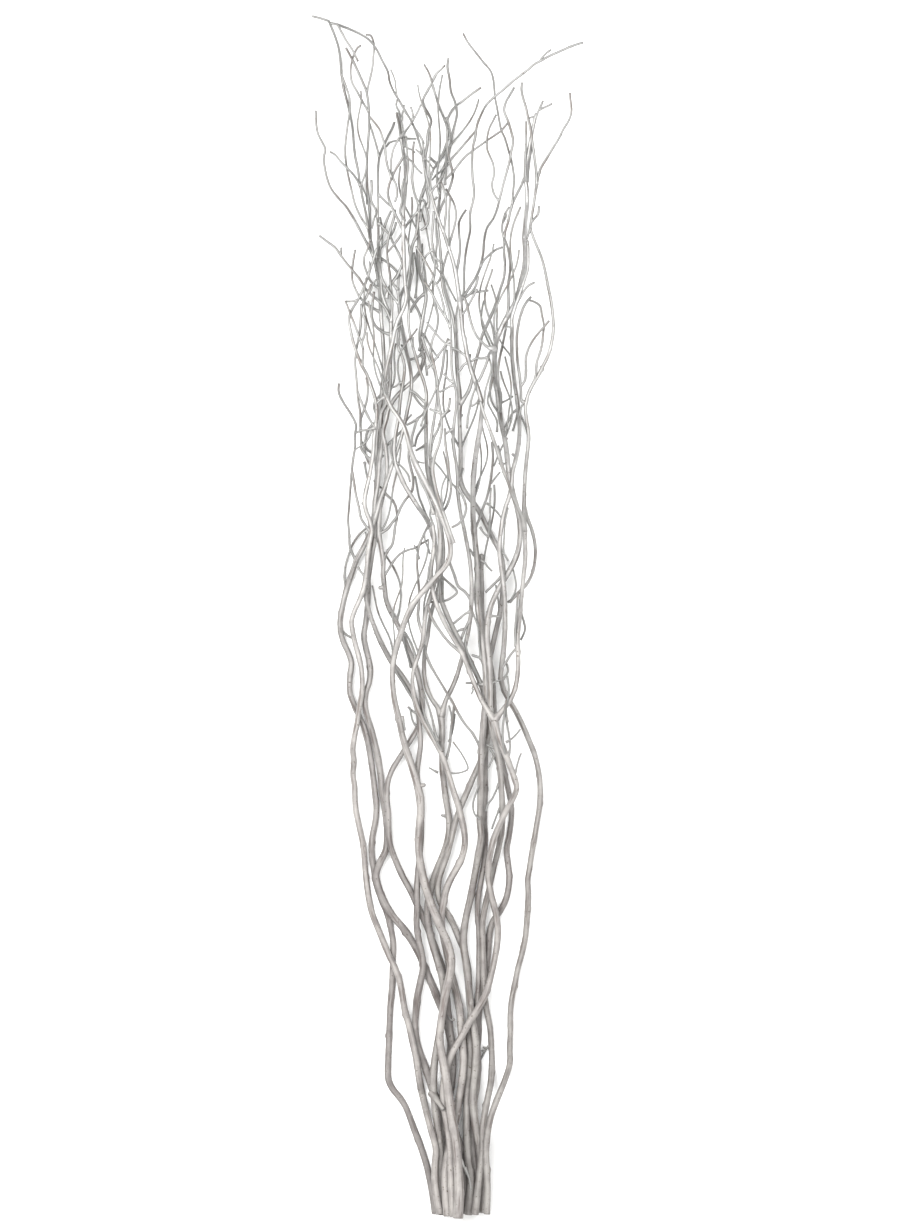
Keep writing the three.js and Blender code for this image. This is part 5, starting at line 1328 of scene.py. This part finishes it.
def add_node(material, kind, inputs=(), **settings):
    """A node with its settings. inputs is a list of (socket, value or another node's output)."""
    node = material.node_tree.nodes.new(kind)
    for setting, value in settings.items():
        setattr(node, setting, value)
    for socket, value in inputs:
        if isinstance(value, bpy.types.NodeSocket):
            material.node_tree.links.new(value, node.inputs[socket])
        else:
            node.inputs[socket].default_value = value
    return node


def new_material(name):
    """An empty node material and its Principled shader."""
    material = bpy.data.materials.new(name)
    material.use_nodes = True
    return material, material.node_tree.nodes["Principled BSDF"]


# %% Silver paint on willow bark
GRAIN_WIDTH, GRAIN_LENGTH = 2.4, 36.0  # streaks of the bark, in millimetres; drawn twice too wide
MOTTLE_SIZE = 14.0  # patches where the spray went on thicker or thinner
SPECK_SIZE = 2.4  # pores and specks of bark; real ones are finer, and wouldn't show
WRINKLE_STEP = 2.6  # folds of the bark on the inside of a tight bend
FOLD_DEPTH = 0.25  # of a wrinkle, as a share of the grain's
GRAIN_DETAIL, MOTTLE_DETAIL, MOTTLE_ROUGHNESS, SPECK_DETAIL = 3.0, 4.0, 0.6, 1.0
THIN_PAINT, THICK_PAINT = 0.78, 1.22  # grain and mottle added up
PORE_EDGE, PORE_DEPTH = 0.68, 0.76  # how rare a speck is, from its edge to its middle
GROOVE_EDGE, GROOVE_DEPTH = 0.44, 0.34  # the low places of the grain, drawn darker: unpainted bark, and painted shade
BUMP_STRENGTH, BUMP_HEIGHT = 0.45, 0.6  # the height is in millimetres
OLD_BARK_ENDS, YOUNG_BARK_STARTS = 350.0, 900.0  # distances from the cut end, in millimetres
OLD_ROUGHNESS, YOUNG_ROUGHNESS, ROUGHNESS_OF_GRAIN = 0.6, 0.36, 0.2
GROOVE_SHARE = 0.75  # how dark the grooves are drawn: unpainted bark where little paint reached, and painted shade in the low places
OLD_SHARE_OF_FLAKES, YOUNG_SHARE_OF_FLAKES = 0.25, 0.48  # the metallic share of the paint
THIN_WOOD_SHADE_RADII = (1.0, 2.2)  # thin wood is drawn a darker grey than the stems, as painted shade for its smaller highlight


def painted_bark(name, old, young, twig, bark_and_groove_shade):
    """Sprayed bark. old and young are each a colour under thin paint and one under thick paint.

    twig is a darker grey, painted shade on thin wood; the last colour darkens pores and grooves.
    """
    material, shader = new_material(name)
    straight = add_node(material, "ShaderNodeAttribute", attribute_name="straightened")
    bend = add_node(material, "ShaderNodeAttribute", attribute_name="bend")
    place = add_node(material, "ShaderNodeTexCoord")
    grain_size = (1 / GRAIN_WIDTH, 1 / GRAIN_WIDTH, 1 / GRAIN_LENGTH)
    grain_place = add_node(material, "ShaderNodeMapping",
                           [("Vector", straight.outputs["Vector"]), ("Scale", grain_size)])
    grain = add_node(material, "ShaderNodeTexNoise",
                     [("Vector", grain_place.outputs["Vector"]), ("Scale", 1.0),
                      ("Detail", GRAIN_DETAIL)])
    mottle = add_node(material, "ShaderNodeTexNoise",
                      [("Vector", place.outputs["Object"]), ("Scale", 1000 / MOTTLE_SIZE),
                       ("Detail", MOTTLE_DETAIL), ("Roughness", MOTTLE_ROUGHNESS)])
    speck = add_node(material, "ShaderNodeTexNoise",
                     [("Vector", place.outputs["Object"]), ("Scale", 1000 / SPECK_SIZE),
                      ("Detail", SPECK_DETAIL)])
    thin = add_node(material, "ShaderNodeMath",
                    [(0, grain.outputs["Fac"]), (1, mottle.outputs["Fac"])], operation="ADD")
    thick = add_node(material, "ShaderNodeMapRange",
                     [("Value", thin.outputs[0]), ("From Min", THIN_PAINT),
                      ("From Max", THICK_PAINT)])
    old_paint, young_paint = [
        add_node(material, "ShaderNodeMix",
                 [("Factor", thick.outputs[0]), ("A", srgb(pair[0])), ("B", srgb(pair[1]))],
                 data_type="RGBA") for pair in (old, young)]
    apart = add_node(material, "ShaderNodeSeparateXYZ", [("Vector", place.outputs["Object"])])
    youth = add_node(material, "ShaderNodeMapRange",
                     [("Value", apart.outputs["Y"]),
                      ("From Min", (OLD_BARK_ENDS - middle[1]) * MM),
                      ("From Max", (YOUNG_BARK_STARTS - middle[1]) * MM)])
    paint = add_node(material, "ShaderNodeMix",
                     [("Factor", youth.outputs[0]), ("A", old_paint.outputs["Result"]),
                      ("B", young_paint.outputs["Result"])], data_type="RGBA")
    girth = add_node(material, "ShaderNodeAttribute", attribute_name="girth")
    # painted shade: the thinner the wood, the nearer its colour is to the darker twig grey
    thin_wood_shade = add_node(material, "ShaderNodeMapRange",
                       [("Value", girth.outputs["Fac"]), ("From Min", THIN_WOOD_SHADE_RADII[1]),
                        ("From Max", THIN_WOOD_SHADE_RADII[0])])
    paint = add_node(material, "ShaderNodeMix",
                     [("Factor", thin_wood_shade.outputs[0]), ("A", paint.outputs["Result"]),
                      ("B", srgb(twig))], data_type="RGBA")
    pore = add_node(material, "ShaderNodeMapRange",
                    [("Value", speck.outputs["Fac"]), ("From Min", PORE_EDGE),
                     ("From Max", PORE_DEPTH)])
    # grooves darken towards the bark colour: partly unpainted bark, partly painted shade
    groove = add_node(material, "ShaderNodeMapRange",
                      [("Value", grain.outputs["Fac"]), ("From Min", GROOVE_EDGE),
                       ("From Max", GROOVE_DEPTH), ("To Max", GROOVE_SHARE)])
    pores_and_groove_shade = add_node(material, "ShaderNodeMath",
                    [(0, pore.outputs[0]), (1, groove.outputs[0])], operation="MAXIMUM")
    colour = add_node(material, "ShaderNodeMix",
                      [("Factor", pores_and_groove_shade.outputs[0]), ("A", paint.outputs["Result"]),
                       ("B", srgb(bark_and_groove_shade))], data_type="RGBA")
    unrolled = add_node(material, "ShaderNodeSeparateXYZ", [("Vector", straight.outputs["Vector"])])
    phase = add_node(material, "ShaderNodeMath",
                     [(0, unrolled.outputs["Z"]), (1, 2 * math.pi / WRINKLE_STEP),
                      (2, mottle.outputs["Fac"])], operation="MULTIPLY_ADD")
    ring = add_node(material, "ShaderNodeMath", [(0, phase.outputs[0])], operation="SINE")
    fold = add_node(material, "ShaderNodeMath",
                    [(0, ring.outputs[0]), (1, bend.outputs["Fac"])], operation="MULTIPLY")
    height = add_node(material, "ShaderNodeMath",
                      [(0, fold.outputs[0]), (1, FOLD_DEPTH), (2, grain.outputs["Fac"])],
                      operation="MULTIPLY_ADD")
    bump = add_node(material, "ShaderNodeBump",
                    [("Strength", BUMP_STRENGTH), ("Distance", BUMP_HEIGHT * MM),
                     ("Height", height.outputs[0])])
    smooth_bark = add_node(material, "ShaderNodeMapRange",
                           [("Value", youth.outputs[0]), ("To Min", OLD_ROUGHNESS),
                            ("To Max", YOUNG_ROUGHNESS)])
    rough = add_node(material, "ShaderNodeMath",
                     [(0, grain.outputs["Fac"]), (1, ROUGHNESS_OF_GRAIN),
                      (2, smooth_bark.outputs[0])], operation="MULTIPLY_ADD")
    flakes = add_node(material, "ShaderNodeMapRange",
                      [("Value", youth.outputs[0]), ("To Min", OLD_SHARE_OF_FLAKES),
                       ("To Max", YOUNG_SHARE_OF_FLAKES)])
    links = material.node_tree.links
    links.new(colour.outputs["Result"], shader.inputs["Base Color"])
    links.new(rough.outputs[0], shader.inputs["Roughness"])
    links.new(flakes.outputs[0], shader.inputs["Metallic"])
    links.new(bump.outputs["Normal"], shader.inputs["Normal"])
    return material


# %% [markdown]
# ## Stems underneath are darker, as painted shade
# The stems lower in the pile are drawn a shade darker and warmer. This is painted shade, standing in
# for the shadow that the stems above cast on them. Three tones of the same finish, from the order in
# which the stems lie, give the depth that the photograph has.

# %% Giving each stem its tone
# darkest to lightest, for stems from low to high in the pile: painted shade
TONES_WITH_PAINTED_SHADE = [
    painted_bark("spray_paint_on_willow_under_painted_shade",
                 ("#6a6563", "#888481"), ("#868583", "#a8a7a5"), "#767674", "#504743"),
    painted_bark("spray_paint_on_willow_middle_painted_shade",
                 ("#706b69", "#918e8a"), ("#8a8987", "#acabaa"), "#787876", "#574f49"),
    painted_bark("spray_paint_on_willow_top",
                 ("#787371", "#9b9793"), ("#8d8c8a", "#b0afad"), "#797977", "#5f5651"),
]


# %% Cut ends
RING_SCALE, RING_WANDER = 0.35, 1.5  # growth rings across the cut, and how far they stray
CUT_BUMP, CUT_BUMP_HEIGHT = 0.4, 0.3
CUT_ROUGHNESS, CUT_SHARE_OF_FLAKES = 0.7, 0.2


def painted_cut(name):
    """The sawn end of a stem: growth rings, dusted with the same paint."""
    material, shader = new_material(name)
    straight = add_node(material, "ShaderNodeAttribute", attribute_name="straightened")
    rings_of_wood = add_node(material, "ShaderNodeTexWave",
                             [("Vector", straight.outputs["Vector"]), ("Scale", RING_SCALE),
                              ("Distortion", RING_WANDER)],
                             wave_type="RINGS", rings_direction="Z")
    colour = add_node(material, "ShaderNodeMix",
                      [("Factor", rings_of_wood.outputs["Fac"]), ("A", srgb("#8f857b")),
                       ("B", srgb("#b8b0a6"))], data_type="RGBA")
    bump = add_node(material, "ShaderNodeBump",
                    [("Strength", CUT_BUMP), ("Distance", CUT_BUMP_HEIGHT * MM),
                     ("Height", rings_of_wood.outputs["Fac"])])
    links = material.node_tree.links
    links.new(colour.outputs["Result"], shader.inputs["Base Color"])
    links.new(bump.outputs["Normal"], shader.inputs["Normal"])
    shader.inputs["Roughness"].default_value = CUT_ROUGHNESS
    shader.inputs["Metallic"].default_value = CUT_SHARE_OF_FLAKES
    return material


cut_wood = painted_cut("spray_paint_on_sawn_willow")
for order, (piece, cut_faces) in enumerate(stems):
    # painted shade: the lower a stem lies in the pile, the darker the tone it gets
    piece.data.materials.append(TONES_WITH_PAINTED_SHADE[order * len(TONES_WITH_PAINTED_SHADE) // len(stems)])
    piece.data.materials.append(cut_wood)
    for face in cut_faces:
        piece.data.polygons[face].material_index = 1
print("materials:", [material.name for material in bpy.data.materials])

# %% [markdown]
# ## Table and light
# The photograph is a product shot on pure white. A plain white table does the same under two light
# panels. The smaller one stands a little to the left, so the right flank of each stem is a little
# darker. The larger one is nearly overhead and keeps the shadows faint, and a white world fills
# them.

# %% Table
TABLE_SIZE, TABLE_DROP = 12, 0.4 * MM  # in metres; the drop keeps the table's face off the bark
TABLE_ROUGHNESS = 0.8

bpy.ops.mesh.primitive_plane_add(size=TABLE_SIZE, location=(0, 0, -TABLE_DROP))
table = bpy.context.object
table.name = "white_table"
table_paint, table_shader = new_material("matt_white_laminate")
table_shader.inputs["Base Color"].default_value = srgb("#f4f4f3")
table_shader.inputs["Roughness"].default_value = TABLE_ROUGHNESS
table.data.materials.append(table_paint)

# %% Lights
WORLD_STRENGTH = 0.66


def soft_light(name, place, size, power):
    """A square light panel that faces the middle of the bunch and that the camera doesn't see."""
    data = bpy.data.lights.new(name, "AREA")
    data.size = size
    data.energy = power
    light = bpy.data.objects.new(name, data)
    light.location = place
    light.rotation_euler = (-Vector(place)).to_track_quat("-Z", "Y").to_euler()
    light.visible_camera = False
    scene.collection.objects.link(light)
    return light


soft_light("key_panel", place=(-0.9, 0.5, 2.6), size=1.1, power=96)
soft_light("top_panel", place=(0.4, -0.2, 3.3), size=2.6, power=96)
world = bpy.data.worlds.new("studio")
world.use_nodes = True
background = world.node_tree.nodes["Background"]
background.inputs["Color"].default_value = srgb("#ffffff")
background.inputs["Strength"].default_value = WORLD_STRENGTH
scene.world = world
scene.view_settings.view_transform = "Standard"
